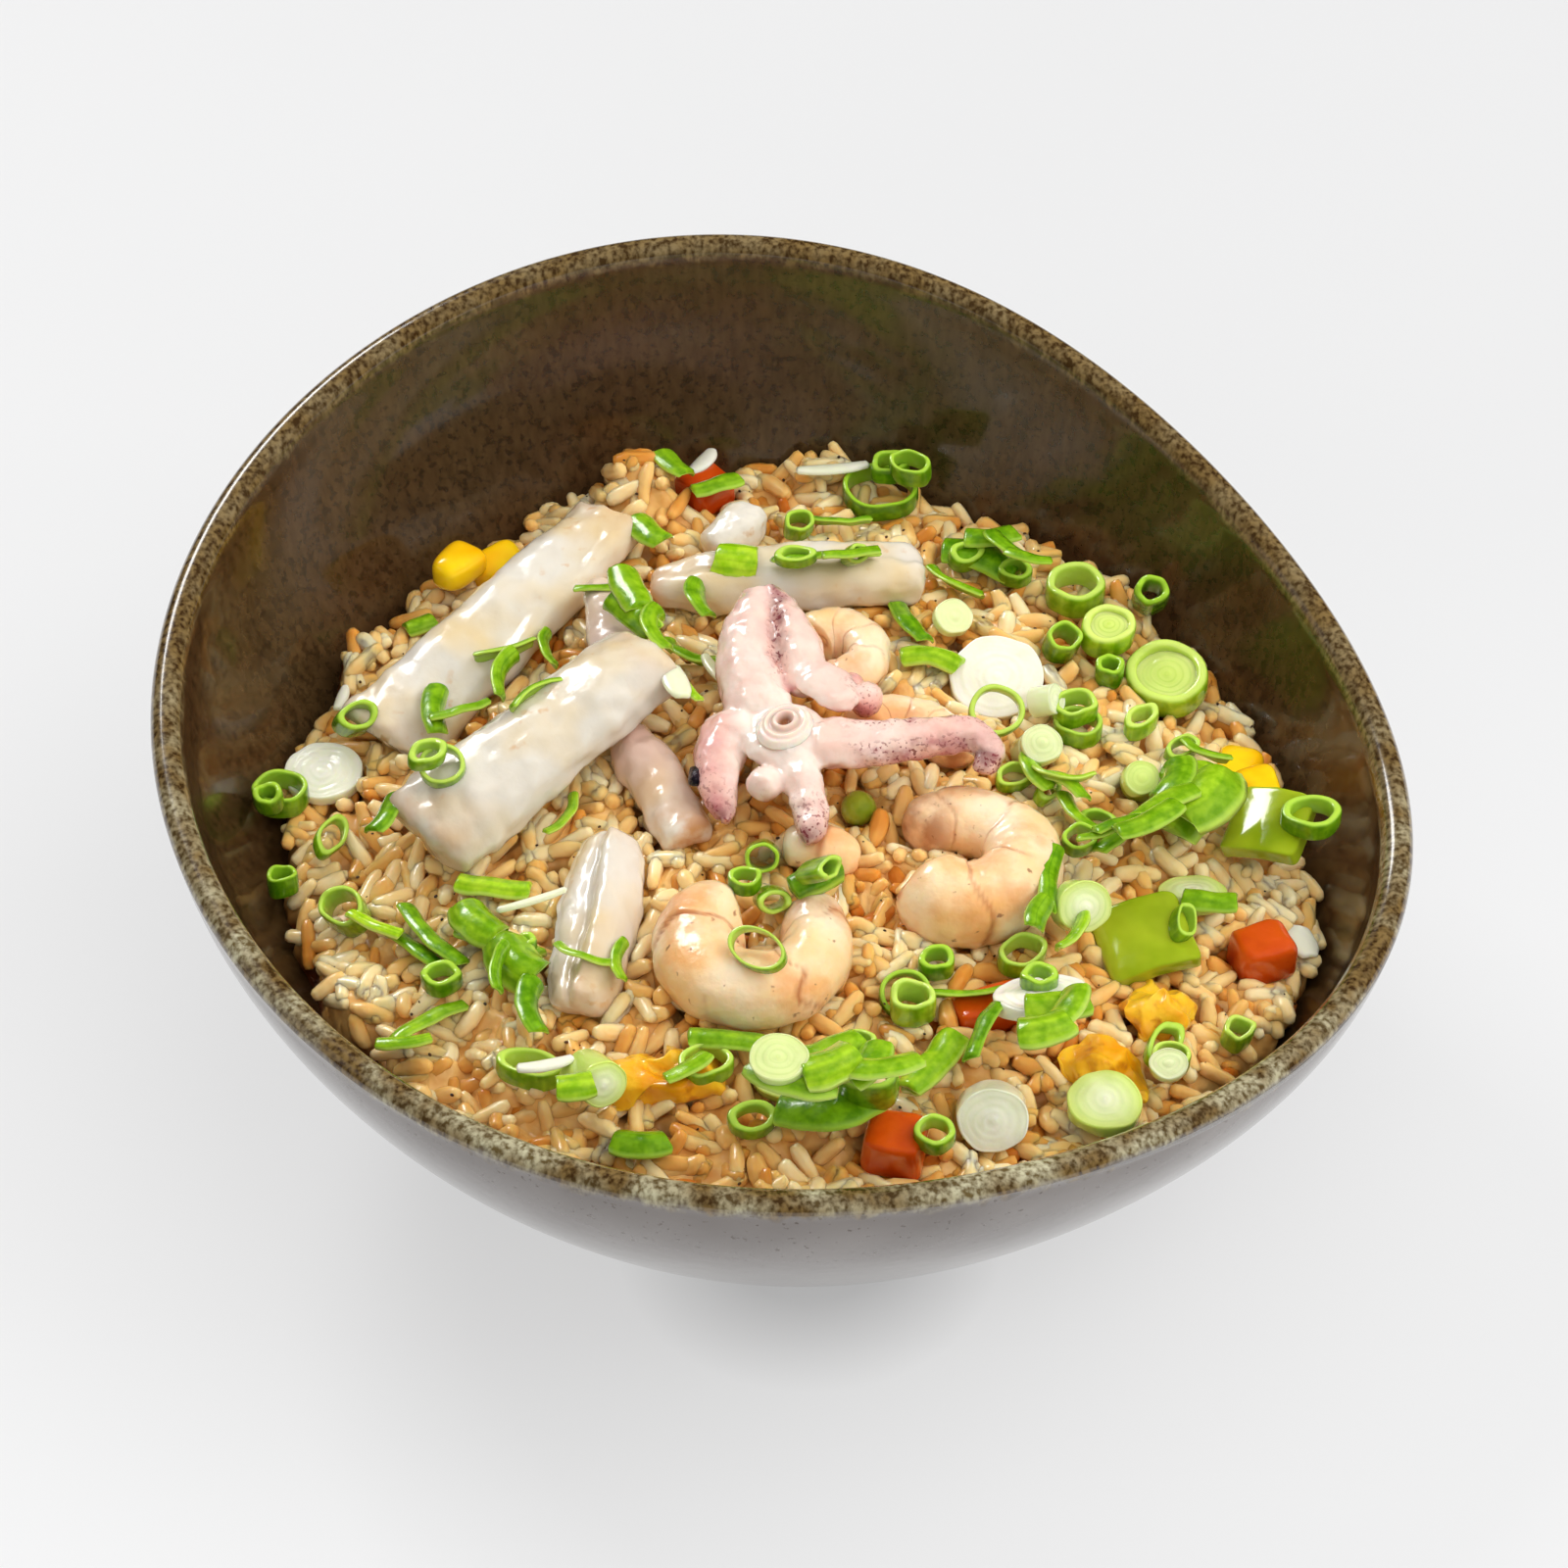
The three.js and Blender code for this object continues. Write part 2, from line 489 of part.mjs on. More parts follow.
const leaves = [
  ['green_leaf_right', [[58, -6, 4, 4.4, 0.8], [63.5, 2, 6, 6, 0.9], [64, 9, 4.5, 4.2, 0.8]], { roll: 14 }],
  ['green_strip_right', [[46.5, -14, 4, 1.9, 0.6], [51, -9.5, 5, 2.2, 0.6], [56.5, -4, 4.6, 1.9, 0.6]], { roll: 30 }],
  ['green_leaf_front', [[-4.5, -69, 3, 4.4, 0.8], [3, -70.5, 4.6, 5, 0.9], [10, -66.5, 3.6, 4, 0.8]], { roll: 20 }],
  ['green_strip_front', [[15.5, -64, 4, 2, 0.8], [19, -59, 5, 2.4, 0.8], [22.5, -53.5, 4.4, 2, 0.8]], { roll: 30 }],
  ['green_leaf_back', [[23, 61, 2.6, 4.2, 0.7], [30, 60, 3.6, 5, 0.8], [36, 56, 3, 3.6, 0.7]], { roll: 24 }],
  ['green_strip_on_squid', [[-33, 34, 11, 2.4, 0.6], [-29.5, 29, 12, 2.6, 0.6], [-25.5, 24, 11, 2.2, 0.6]], { roll: -26 }],
  ['green_strip_on_back', [[-6.5, 45, 11, 1.7, 0.5], [3, 46, 11.6, 2, 0.5], [12, 48.5, 10.6, 1.5, 0.5]], { roll: 40 }],
  ['green_strip_left_1', [[-55.5, -28, 3, 2.8, 0.8], [-49, -32, 3.6, 3.2, 0.8], [-43, -36, 3, 2.8, 0.8]], { roll: 24 }],
  ['green_strip_left_2', [[-67, -26, 2.6, 1.6, 0.6], [-62.5, -31, 3, 1.9, 0.6], [-57.5, -36, 2.4, 1.5, 0.6]], { roll: 30 }],
  ['green_tube_front', [[-2.6, -30, 9, 2.2, 1.8], [1.2, -28, 10, 2.4, 2], [4.4, -25.5, 9.6, 2.2, 1.8]], { roll: 0 }],
];
for (const [name, stops, options] of leaves) {
  layBar(name, onionGreen, stops, { steps: 5, sides: 6, square: 3, blunt: 0.8, ...options });
}

// The lowest topping above a spot, so that no grain between three corners can touch it.
function ceilingOver(x, y) {
  const reach = Math.ceil(GRAIN_REACH / CELL);
  let lowest = Infinity;
  for (let i = -reach; i <= reach; i += 1) {
    for (let j = -reach; j <= reach; j += 1) {
      lowest = Math.min(lowest, undersides[cellOf(x + i * CELL, y + j * CELL)]);
    }
  }
  return lowest - GAP;
}

// The height where the mound meets the wall in a given direction.
function edgeOfRice(angle) {
  let radius = MIDDLE_OF_RICE;
  let height = 0;
  for (let pass = 0; pass < 6; pass += 1) {
    height = moundHeight(radius * Math.cos(angle), radius * Math.sin(angle));
    radius = innerRadius(angle, height) - RICE_GAP;
  }
  return { radius, height };
}

// The rice: a top of hexagonal rings with grain-size bumps, a coarser side against the wall and a flat bottom.
function riceSkin() {
  const positions = [[0, 0, moundHeight(0, 0)]];
  const starts = [0];
  for (let ring = 1; ring <= RICE_RINGS; ring += 1) {
    starts.push(positions.length);
    const count = 6 * ring;
    for (let i = 0; i < count; i += 1) {
      const angle = (i * TAU) / count;
      const rim = ring === RICE_RINGS;
      const edge = edgeOfRice(angle);
      const away = rim ? 0 : 0.5 * (draw() - 0.5);
      const radius = (edge.radius * (ring + away)) / RICE_RINGS;
      const x = radius * Math.cos(angle);
      const y = radius * Math.sin(angle);
      const bump = rim ? 0 : GRAIN_RELIEF * (2 * draw() - 1);
      positions.push([x, y, Math.min(moundHeight(x, y) + bump, ceilingOver(x, y))]);
    }
  }
  positions[0][2] = Math.min(positions[0][2], ceilingOver(0, 0));
  const indices = [];
  for (let ring = 0; ring < RICE_RINGS; ring += 1) {
    const inner = (i) => (ring === 0 ? 0 : starts[ring] + (i % (6 * ring)));
    const outer = (i) => starts[ring + 1] + (i % (6 * (ring + 1)));
    for (let sector = 0; sector < 6; sector += 1) {
      for (let k = 0; k <= ring; k += 1) {
        const a = sector * ring + k;
        const b = sector * (ring + 1) + k;
        indices.push(inner(a), outer(b), outer(b + 1));
        if (k < ring) {
          indices.push(inner(a), outer(b + 1), inner(a + 1));
        }
      }
    }
  }
  const perColumn = (6 * RICE_RINGS) / BOWL_COLUMNS;
  const sideRings = [];
  for (const part of [0.82, 0.6, 0.38, 0.18, 0]) {
    sideRings.push(positions.length);
    for (let column = 0; column < BOWL_COLUMNS; column += 1) {
      const angle = (column * TAU) / BOWL_COLUMNS;
      const bottom = FLOOR + RICE_GAP;
      const z = bottom + part * (edgeOfRice(angle).height - bottom);
      const radius = innerRadius(angle, z) - RICE_GAP - 0.2;
      positions.push([radius * Math.cos(angle), radius * Math.sin(angle), z]);
    }
  }
  const rimAt = (i) => starts[RICE_RINGS] + (i % (6 * RICE_RINGS));
  const sideAt = (ring, column) => sideRings[ring] + (column % BOWL_COLUMNS);
  const bottomCentre = positions.length;
  positions.push([0, 0, FLOOR + RICE_GAP]);
  for (let column = 0; column < BOWL_COLUMNS; column += 1) {
    for (let k = 0; k < perColumn; k += 1) {
      indices.push(sideAt(0, column), rimAt(column * perColumn + k + 1), rimAt(column * perColumn + k));
    }
    indices.push(sideAt(0, column), sideAt(0, column + 1), rimAt((column + 1) * perColumn));
    for (let ring = 0; ring + 1 < sideRings.length; ring += 1) {
      indices.push(sideAt(ring + 1, column), sideAt(ring + 1, column + 1), sideAt(ring, column + 1));
      indices.push(sideAt(ring + 1, column), sideAt(ring, column + 1), sideAt(ring, column));
    }
    indices.push(bottomCentre, sideAt(4, column + 1), sideAt(4, column));
  }
  return geometryOf(positions, indices);
}

// Small rings of green lie pressed into the rice where nothing larger covers it.
const SMALL_RING = { radius: 4, wall: 1, height: 4.4, sunk: 0.6 };
const smallRings = [
  [-74, 13], [-85, 2], [-74, -24], [-61, -46], [-43, -59], [-16, -61], [56, -48], [66, -41],
  [70, 26], [56, 22], [40, 66], [-10, 76], [38, -57], [-77, -5],
];
let rice = solidOf(riceSkin());
for (const [x, y] of smallRings) {
  const ring = onionRing(SMALL_RING.radius, SMALL_RING.wall, SMALL_RING.height, 0.8, 8);
  const z = moundHeight(x, y) + SMALL_RING.sunk;
  const place = new THREE.Matrix4().makeTranslation(x, y, z).multiply(new THREE.Matrix4().makeRotationZ(draw() * TAU));
  const covered = ceilingOver(x, y) < z + SMALL_RING.height;
  const joined = rice.add(solidOf(ring, place));
  if (!covered && joined.decompose().length === 1) {
    rice = joined;
  }
}
const riceMesh = new THREE.Mesh(geometryFrom(rice), cookedRice);
riceMesh.name = 'rice';
dish.add(riceMesh);

export default dish;
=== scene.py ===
"""Seafood fried rice in a slanted stoneware bowl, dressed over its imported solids. Metres, +Z up."""

import math

import bpy
import numpy as np
from mathutils import Matrix, Vector, noise


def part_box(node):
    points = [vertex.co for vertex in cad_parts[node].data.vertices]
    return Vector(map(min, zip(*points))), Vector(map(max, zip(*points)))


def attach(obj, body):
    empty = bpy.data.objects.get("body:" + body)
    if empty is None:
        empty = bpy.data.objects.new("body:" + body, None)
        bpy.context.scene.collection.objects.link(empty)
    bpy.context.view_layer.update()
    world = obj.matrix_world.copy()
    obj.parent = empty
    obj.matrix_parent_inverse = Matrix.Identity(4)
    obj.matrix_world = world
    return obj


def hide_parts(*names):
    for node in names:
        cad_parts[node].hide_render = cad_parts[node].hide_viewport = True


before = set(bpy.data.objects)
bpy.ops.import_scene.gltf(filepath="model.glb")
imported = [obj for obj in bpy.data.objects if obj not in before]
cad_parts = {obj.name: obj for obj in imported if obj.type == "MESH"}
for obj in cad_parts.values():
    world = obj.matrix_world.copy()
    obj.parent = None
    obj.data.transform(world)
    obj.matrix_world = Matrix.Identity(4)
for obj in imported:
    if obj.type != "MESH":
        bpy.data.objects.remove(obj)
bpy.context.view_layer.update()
MM = 0.001

# The table and light: the bowl stands on a pale sheet that glows with painted light, under soft light from
# behind, seen from 44 degrees above through a long lens, with the frame set a little off its middle.
CAMERA_TILT = math.radians(43.96)
CAMERA_DISTANCE = 0.7028
CAMERA_AIM = Vector((0, 0, 0.040))
LENS_MM = 96.57
SHIFT_X = -0.01626
SHIFT_Y = 0.06105
IMAGE_SIDE = 1600
SENSOR_MM = 36

toward_camera = Vector((0, -math.cos(CAMERA_TILT), math.sin(CAMERA_TILT)))
camera_place = CAMERA_AIM + toward_camera * CAMERA_DISTANCE
camera_data = bpy.data.cameras.new("view")
camera_data.lens = LENS_MM
camera_data.sensor_width = SENSOR_MM
camera_data.shift_x = SHIFT_X
camera_data.shift_y = SHIFT_Y
camera = bpy.data.objects.new("view", camera_data)
camera.location = camera_place
camera.rotation_euler = (math.pi / 2 - CAMERA_TILT, 0, 0)
bpy.context.scene.collection.objects.link(camera)
bpy.context.scene.camera = camera
bpy.context.scene.view_settings.view_transform = "Standard"


def soft_box(name, place, aim, width, depth, power):
    """A rectangular soft light, aimed at a point."""
    data = bpy.data.lights.new(name, "AREA")
    data.shape = "RECTANGLE"
    data.size = width
    data.size_y = depth
    data.energy = power
    lamp = bpy.data.objects.new(name, data)
    lamp.location = place
    lamp.rotation_euler = (Vector(aim) - Vector(place)).to_track_quat("-Z", "Y").to_euler()
    bpy.context.scene.collection.objects.link(lamp)
    return lamp


soft_box("window_back_left", (-0.62, 0.80, 0.95), (0, 0, 0.05), 0.50, 0.36, 6.5)
soft_box("window_left", (-1.1, -0.15, 0.55), (0, 0, 0.05), 0.4, 0.8, 0.4)
window_shine = soft_box("window_shine", (-0.62, 0.80, 0.95), (0, 0, 0.05), 0.50, 0.36, 5)
window_shine.visible_diffuse = False
for lamp in (
    soft_box("top_sheet", (0.6, 0.2, 1.3), (0, 0, 0.05), 2.2, 1.9, 15),
    soft_box("front_sheet", (0.15, -1.2, 1.3), (0, -0.1, 0.02), 2.0, 1.4, 12.5),
    soft_box("right_sheet", (1.2, 0.1, 1.0), (0, 0, 0.02), 1.4, 1.2, 13),
):
    lamp.visible_glossy = False

world = bpy.data.worlds.new("room")
world.use_nodes = True
world.node_tree.nodes["Background"].inputs["Color"].default_value = (1, 1, 1, 1)
world.node_tree.nodes["Background"].inputs["Strength"].default_value = 0.27
bpy.context.scene.world = world
world.cycles_visibility.glossy = False


def rgb(red, green, blue):
    """A colour as it is seen, 0 to 255, in the linear values that a shader takes."""
    return tuple(c / 3294.6 if c <= 10 else ((c / 255 + 0.055) / 1.055) ** 2.4 for c in (red, green, blue))


def wire(tree, source, target):
    tree.links.new(source, target)


def node(tree, kind, **settings):
    """A shader node with its settings, and its input values under their socket names."""
    made = tree.nodes.new(kind)
    for key, value in settings.items():
        if hasattr(made, key):
            setattr(made, key, value)
        else:
            made.inputs[key.replace("_", " ")].default_value = value
    return made


def mottle_group():
    """Cloudy colour variation: a mask between 0 and 1 that wanders over the surface."""
    group = bpy.data.node_groups.new("mottle", "ShaderNodeTree")
    for socket in ("Scale", "Detail", "Low", "High"):
        group.interface.new_socket(socket, in_out="INPUT", socket_type="NodeSocketFloat")
    group.interface.new_socket("Stretch", in_out="INPUT", socket_type="NodeSocketVector")
    group.interface.new_socket("Mask", in_out="OUTPUT", socket_type="NodeSocketFloat")
    given = group.nodes.new("NodeGroupInput").outputs
    result = group.nodes.new("NodeGroupOutput")
    place = group.nodes.new("ShaderNodeTexCoord")
    stretched = node(group, "ShaderNodeVectorMath", operation="MULTIPLY")
    clouds = node(group, "ShaderNodeTexNoise")
    spread = node(group, "ShaderNodeMapRange")
    for source, target in (
        (place.outputs["Object"], stretched.inputs[0]), (given["Stretch"], stretched.inputs[1]),
        (stretched.outputs[0], clouds.inputs["Vector"]), (given["Scale"], clouds.inputs["Scale"]),
        (given["Detail"], clouds.inputs["Detail"]), (clouds.outputs["Fac"], spread.inputs["Value"]),
        (given["Low"], spread.inputs["From Min"]), (given["High"], spread.inputs["From Max"]),
        (spread.outputs["Result"], result.inputs["Mask"]),
    ):
        wire(group, source, target)
    return group


mottle = mottle_group()


class Finish:
    """A material under construction: its nodes are added and wired through short methods."""

    def __init__(self, name):
        self.material = bpy.data.materials.new(name)
        self.material.use_nodes = True
        self.tree = self.material.node_tree
        self.shader = self.tree.nodes["Principled BSDF"]

    def mottled(self, scale, low=0.4, high=0.6, detail=3.0, stretch=(1, 1, 1)):
        """Places the cloudy mask and gives its output."""
        placed = self.tree.nodes.new("ShaderNodeGroup")
        placed.node_tree = mottle
        sockets = ("Scale", "Low", "High", "Detail", "Stretch")
        for socket, value in zip(sockets, (scale, low, high, detail, stretch)):
            placed.inputs[socket].default_value = value
        return placed.outputs["Mask"]

    def on_points(self, name):
        return node(self.tree, "ShaderNodeAttribute", attribute_name=name).outputs["Fac"]

    def blend(self, mask, first, second):
        """Mixes two colours, each a tuple or an output, by a mask."""
        mix = node(self.tree, "ShaderNodeMix", data_type="RGBA")
        wire(self.tree, mask, mix.inputs[0])
        for socket, colour in ((mix.inputs[6], first), (mix.inputs[7], second)):
            if isinstance(colour, tuple):
                socket.default_value = (*colour, 1)
            else:
                wire(self.tree, colour, socket)
        return mix.outputs[2]

    def remap(self, value, low, high, to_low=0.0, to_high=1.0):
        made = node(self.tree, "ShaderNodeMapRange",
                    From_Min=low, From_Max=high, To_Min=to_low, To_Max=to_high)
        wire(self.tree, value, made.inputs["Value"])
        return made.outputs["Result"]

    def maths(self, operation, first, second=0.0, clamp=False):
        made = node(self.tree, "ShaderNodeMath", operation=operation, use_clamp=clamp)
        for socket, value in ((made.inputs[0], first), (made.inputs[1], second)):
            if isinstance(value, (int, float)):
                socket.default_value = value
            else:
                wire(self.tree, value, socket)
        return made.outputs[0]

    def times(self, first, second):
        return self.maths("MULTIPLY", first, second)

    def colour(self, output):
        wire(self.tree, output, self.shader.inputs["Base Color"])

    def bump(self, height, strength, distance):
        made = node(self.tree, "ShaderNodeBump", Strength=strength, Distance=distance)
        wire(self.tree, height, made.inputs["Height"])
        wire(self.tree, made.outputs["Normal"], self.shader.inputs["Normal"])

    def surface(self, roughness, glow=0.0, radius=(1.0, 0.2, 0.1), scale=0.05,
                coat=0.0, coat_roughness=0.03):
        """How rough it is, how far light spreads inside it and how wet it is."""
        for socket, value in (
            ("Roughness", roughness), ("Subsurface Weight", glow), ("Subsurface Radius", radius),
            ("Subsurface Scale", scale), ("Coat Weight", coat), ("Coat Roughness", coat_roughness),
        ):
            self.shader.inputs[socket].default_value = value


paper = Finish("pale_sheet")
paper_grain = node(paper.tree, "ShaderNodeTexNoise", Scale=30.0, Detail=2.0)
paper_ramp = node(paper.tree, "ShaderNodeValToRGB")
paper_ramp.color_ramp.elements[0].color = (0.25, 0.25, 0.252, 1)
paper_ramp.color_ramp.elements[1].color = (0.27, 0.27, 0.272, 1)
wire(paper.tree, paper_grain.outputs["Fac"], paper_ramp.inputs["Fac"])
paper.colour(paper_ramp.outputs["Color"])
paper.surface(0.6)
# The sheet glows with painted light that is stronger towards the front, and the glow drops near the bowl's
# foot as a painted contact shadow.
paper.shader.inputs["Emission Color"].default_value = (1, 1, 1, 1)
paper_place = node(paper.tree, "ShaderNodeTexCoord")
paper_from_foot = node(paper.tree, "ShaderNodeVectorMath", operation="DISTANCE")
paper_from_foot.inputs[1].default_value = (0, -0.045, 0)
paper_axes = node(paper.tree, "ShaderNodeSeparateXYZ")
paper_painted_contact_shadow = node(paper.tree, "ShaderNodeMapRange", From_Min=0.013, From_Max=0.032, To_Min=0.66, To_Max=1.0)
paper_painted_front_light = node(paper.tree, "ShaderNodeMapRange", From_Min=-0.1, From_Max=0.15, To_Min=0.56, To_Max=0.49)
paper_painted_glow = node(paper.tree, "ShaderNodeMath", operation="MULTIPLY")
wire(paper.tree, paper_place.outputs["Object"], paper_from_foot.inputs[0])
wire(paper.tree, paper_place.outputs["Object"], paper_axes.inputs[0])
wire(paper.tree, paper_from_foot.outputs["Value"], paper_painted_contact_shadow.inputs["Value"])
wire(paper.tree, paper_axes.outputs["Y"], paper_painted_front_light.inputs["Value"])
wire(paper.tree, paper_painted_contact_shadow.outputs["Result"], paper_painted_glow.inputs[0])
wire(paper.tree, paper_painted_front_light.outputs["Result"], paper_painted_glow.inputs[1])
wire(paper.tree, paper_painted_glow.outputs[0], paper.shader.inputs["Emission Strength"])
bpy.ops.mesh.primitive_plane_add(size=6, location=(0, 0, -0.0002))
sheet = bpy.context.object
sheet.name = "table_sheet"
sheet.data.materials.append(paper.material)

# The bowl: thrown stoneware with a rim that runs out of round and climbs to the back,
# dipped in a dark reactive glaze that breaks to olive and cream where it thins on the rim.
RIM_RADIUS = 100
RIM_WAVES = ((-0.054, 0.049), (0.019, -0.030), (0.014, 0.001), (0.007, -0.005))
RIM_HEIGHT = 73.8
SLANT_RIGHT, SLANT_BACK, SLANT_SADDLE, SLANT_TWIST = -7.3, 16.7, -6.6, -1.1
FOOT_RADIUS = 51.5
WALL_CURVE = 1.74
WALL = 5
FLOOR = 6
FLOOR_RADIUS = 48


def rim_radius(angle):
    """How far the rim's outside is from the middle, in millimetres, in a direction."""
    total = RIM_RADIUS * np.ones_like(angle)
    for k, (a, b) in enumerate(RIM_WAVES, 1):
        total += RIM_RADIUS * (a * np.cos(k * angle) + b * np.sin(k * angle))
    return total


def rim_height(angle):
    return (RIM_HEIGHT + SLANT_RIGHT * np.cos(angle) + SLANT_BACK * np.sin(angle)
            + SLANT_SADDLE * np.cos(2 * angle) + SLANT_TWIST * np.sin(2 * angle))


def outer_radius(angle, t):
    return FOOT_RADIUS + (rim_radius(angle) - FOOT_RADIUS) * (1 - (1 - t) ** WALL_CURVE)


def inner_radius(angle, z):
    t = np.clip((z - FLOOR) / (rim_height(angle) - FLOOR), 0, 1)
    return FLOOR_RADIUS + (rim_radius(angle) - WALL - FLOOR_RADIUS) * (1 - (1 - t) ** WALL_CURVE)


def skin_faces(rings, sides, first, last):
    """Quads between rings of points, with a fan to a single point at each end."""
    faces = []
    for side in range(sides):
        after = (side + 1) % sides
        faces.append((first, after, side))
        faces.append((last, (rings - 1) * sides + side, (rings - 1) * sides + after))
        for ring in range(rings - 1):
            low, high = ring * sides, (ring + 1) * sides
            faces.append((low + side, low + after, high + after, high + side))
    return faces


def add_piece(name, points_mm, faces, finish, replaced, values=None):
    """One smooth piece from points in millimetres, riding on the dish, with named values on its points."""
    mesh = bpy.data.meshes.new(name)
    mesh.from_pydata((np.asarray(points_mm) * MM).tolist(), [], faces)
    for key, numbers in (values or {}).items():
        mesh.attributes.new(key, "FLOAT", "POINT").data.foreach_set("value", np.asarray(numbers, "f"))
    mesh.validate()
    mesh.update()
    mesh.polygons.foreach_set("use_smooth", [True] * len(mesh.polygons))
    mesh.materials.append(finish.material)
    piece = bpy.data.objects.new(name, mesh)
    bpy.context.scene.collection.objects.link(piece)
    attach(piece, "root")
    if replaced:
        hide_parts(*replaced)


def bowl_rings(columns):
    """The bowl's skin as rings from the foot, up the outside, over the rim and down the inside."""
    angle = np.linspace(0, 2 * math.pi, columns, endpoint=False)
    rings, lips, insides = [], [], []

    def ring(radius, height, lip, inside):
        rings.append(np.stack([radius * np.cos(angle), radius * np.sin(angle), height], axis=1))
        lips.append(np.broadcast_to(lip, columns))
        insides.append(np.full(columns, inside))

    ring(np.full(columns, FOOT_RADIUS - 1.5), np.zeros(columns), 100, 0)
    ring(np.full(columns, FOOT_RADIUS - 0.5), np.full(columns, 0.4), 100, 0)
    top = rim_height(angle)
    for t in np.linspace(0.03, 0.965, 34):
        ring(outer_radius(angle, t), t * top, (1 - t) * top, 0)
    for turn in np.linspace(0.06, 0.94, 12) * math.pi:
        radius = rim_radius(angle) - WALL / 2 * (1 - math.cos(turn))
        ring(radius, top - WALL / 2 * (1 - math.sin(turn)), 2.4 * (1 - math.sin(turn)), turn / math.pi)
    for t in np.linspace(0.955, 0, 40):
        height = FLOOR + t * (top - FLOOR)
        ring(inner_radius(angle, height), height, (1 - t) * (top - FLOOR), 1)
    return np.concatenate(rings), np.concatenate(lips), np.concatenate(insides), len(rings)


BOWL_COLUMNS = 288
bowl_points, bowl_lip, bowl_inside, bowl_ring_count = bowl_rings(BOWL_COLUMNS)
bowl_points = np.concatenate([bowl_points, [[0, 0, 0], [0, 0, FLOOR]]])
bowl_lip = np.append(bowl_lip, [100, 100])
bowl_inside = np.append(bowl_inside, [0, 1])

glaze = Finish("reactive_glaze")
lip = glaze.on_points("lip")
inside = glaze.on_points("inside")
streaks = glaze.mottled(620, 0.30, 0.72, 2.0, (1, 1, 0.22))
clouds = glaze.mottled(26, 0.35, 0.65, 1.0)
brown = glaze.blend(streaks, rgb(60, 39, 20), rgb(78, 54, 31))
olive = glaze.blend(streaks, rgb(58, 42, 21), rgb(76, 57, 33))
well = glaze.blend(clouds, brown, olive)
dark_specks = glaze.mottled(700, 0.50, 0.68, 2.0)
well = glaze.blend(glaze.times(dark_specks, 0.7), well, rgb(34, 22, 10))
outer_clouds = glaze.mottled(60, 0.3, 0.7, 1.0)
outer = glaze.blend(outer_clouds, rgb(104, 95, 90), rgb(122, 114, 109))
outside_speck = glaze.mottled(900, 0.68, 0.74, 1.0)
outer = glaze.blend(outside_speck, outer, rgb(70, 52, 36))
body_colour = glaze.blend(glaze.remap(inside, 0.3, 0.75), outer, well)
rim_speck = glaze.mottled(1050, 0.36, 0.64, 2.0, (1, 1, 0.6))
rim_patch = glaze.times(glaze.mottled(150, 0.40, 0.66, 2.0), glaze.on_points("front"))
rim_dark = glaze.blend(rim_speck, rgb(60, 40, 15), rgb(122, 98, 56))
rim_pale = glaze.blend(rim_speck, rgb(102, 86, 52), rgb(188, 182, 150))
rim_colour = glaze.blend(rim_patch, rim_dark, rim_pale)
lip_edge = glaze.mottled(300, 0.3, 0.7, 1.0)
lip_reach = glaze.maths("ADD", glaze.remap(lip_edge, 0, 1, -1.0, 1.0), lip)
on_rim = glaze.remap(lip_reach, 3.4, 1.6)
glaze.colour(glaze.blend(on_rim, body_colour, rim_colour))
glaze.surface(0.21, coat=0.6, coat_roughness=0.06)
glaze.bump(glaze.mottled(240, 0.2, 0.8, 1.0), 0.10, 0.0005)

add_piece("stoneware_bowl", bowl_points,
          skin_faces(bowl_ring_count, BOWL_COLUMNS, len(bowl_points) - 2, len(bowl_points) - 1),
          glaze, ["bowl"], {
              "lip": bowl_lip, "inside": bowl_inside,
              "front": 0.15 + 0.85 * np.clip((20 - bowl_points[:, 1]) / 70, 0, 1),
          })

# The rice: a low mound of loose fried grains, stuck together in small lumps by egg and oil,
# pale on top and amber in the gaps, partly where the sauce ran and partly as painted shade.
EDGE_LEVEL, EDGE_RIGHT, EDGE_BACK, EDGE_SADDLE = 47.7, -3.75, 4.5, -5.5
RICE_RISE = 12
RICE_REACH = 88
CLUMPS = ((-31, 76, 7, 9), (-80, 42, 5, 7), (4, 82, 3, 8))
# Lumps that stand over the smooth mound: middle, height and radius.
LUMPS = ((-31, 71, 4, 9), (53, 54, 4, 7), (72, 17, 4, 7), (-73, 36, 3, 7), (64, 14, 2, 6), (40, 62, 3, 7))
CELL = 0.6
MAP_HALF = 120
MAP_SIDE = int(2 * MAP_HALF / CELL)


def mound(x, y):
    """The smooth height that the toppings lie on, in millimetres."""
    u, v = np.asarray(x) / RICE_REACH, np.asarray(y) / RICE_REACH
    z = EDGE_LEVEL + EDGE_RIGHT * u + EDGE_BACK * v + EDGE_SADDLE * (u * u - v * v)
    z = z + RICE_RISE * (1 - np.minimum(1, u * u + v * v))
    for clump_x, clump_y, height, radius in CLUMPS:
        z = z + height * np.exp(-((x - clump_x) ** 2 + (y - clump_y) ** 2) / radius ** 2)
    return z


def cell_of(x, y):
    column = np.clip(((np.asarray(x) + MAP_HALF) / CELL).astype(int), 0, MAP_SIDE - 1)
    row = np.clip(((np.asarray(y) + MAP_HALF) / CELL).astype(int), 0, MAP_SIDE - 1)
    return row, column


def node_points(name, spacing=0.5):
    """Points spread over the faces of one CAD solid, in millimetres."""
    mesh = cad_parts[name].data
    mesh.calc_loop_triangles()
    corners = np.array([v.co for v in mesh.vertices]) / MM
    spread = []
    for triangle in mesh.loop_triangles:
        a, b, c = corners[list(triangle.vertices)]
        longest = max(np.linalg.norm(b - a), np.linalg.norm(c - b), np.linalg.norm(a - c))
        steps = max(1, int(math.ceil(longest / spacing)))
        i, j = np.meshgrid(np.arange(steps + 1), np.arange(steps + 1))
        keep = (i + j) <= steps
        u, v = (i[keep] / steps)[:, None], (j[keep] / steps)[:, None]
        spread.append(a + u * (b - a) + v * (c - a))
    return np.concatenate(spread)


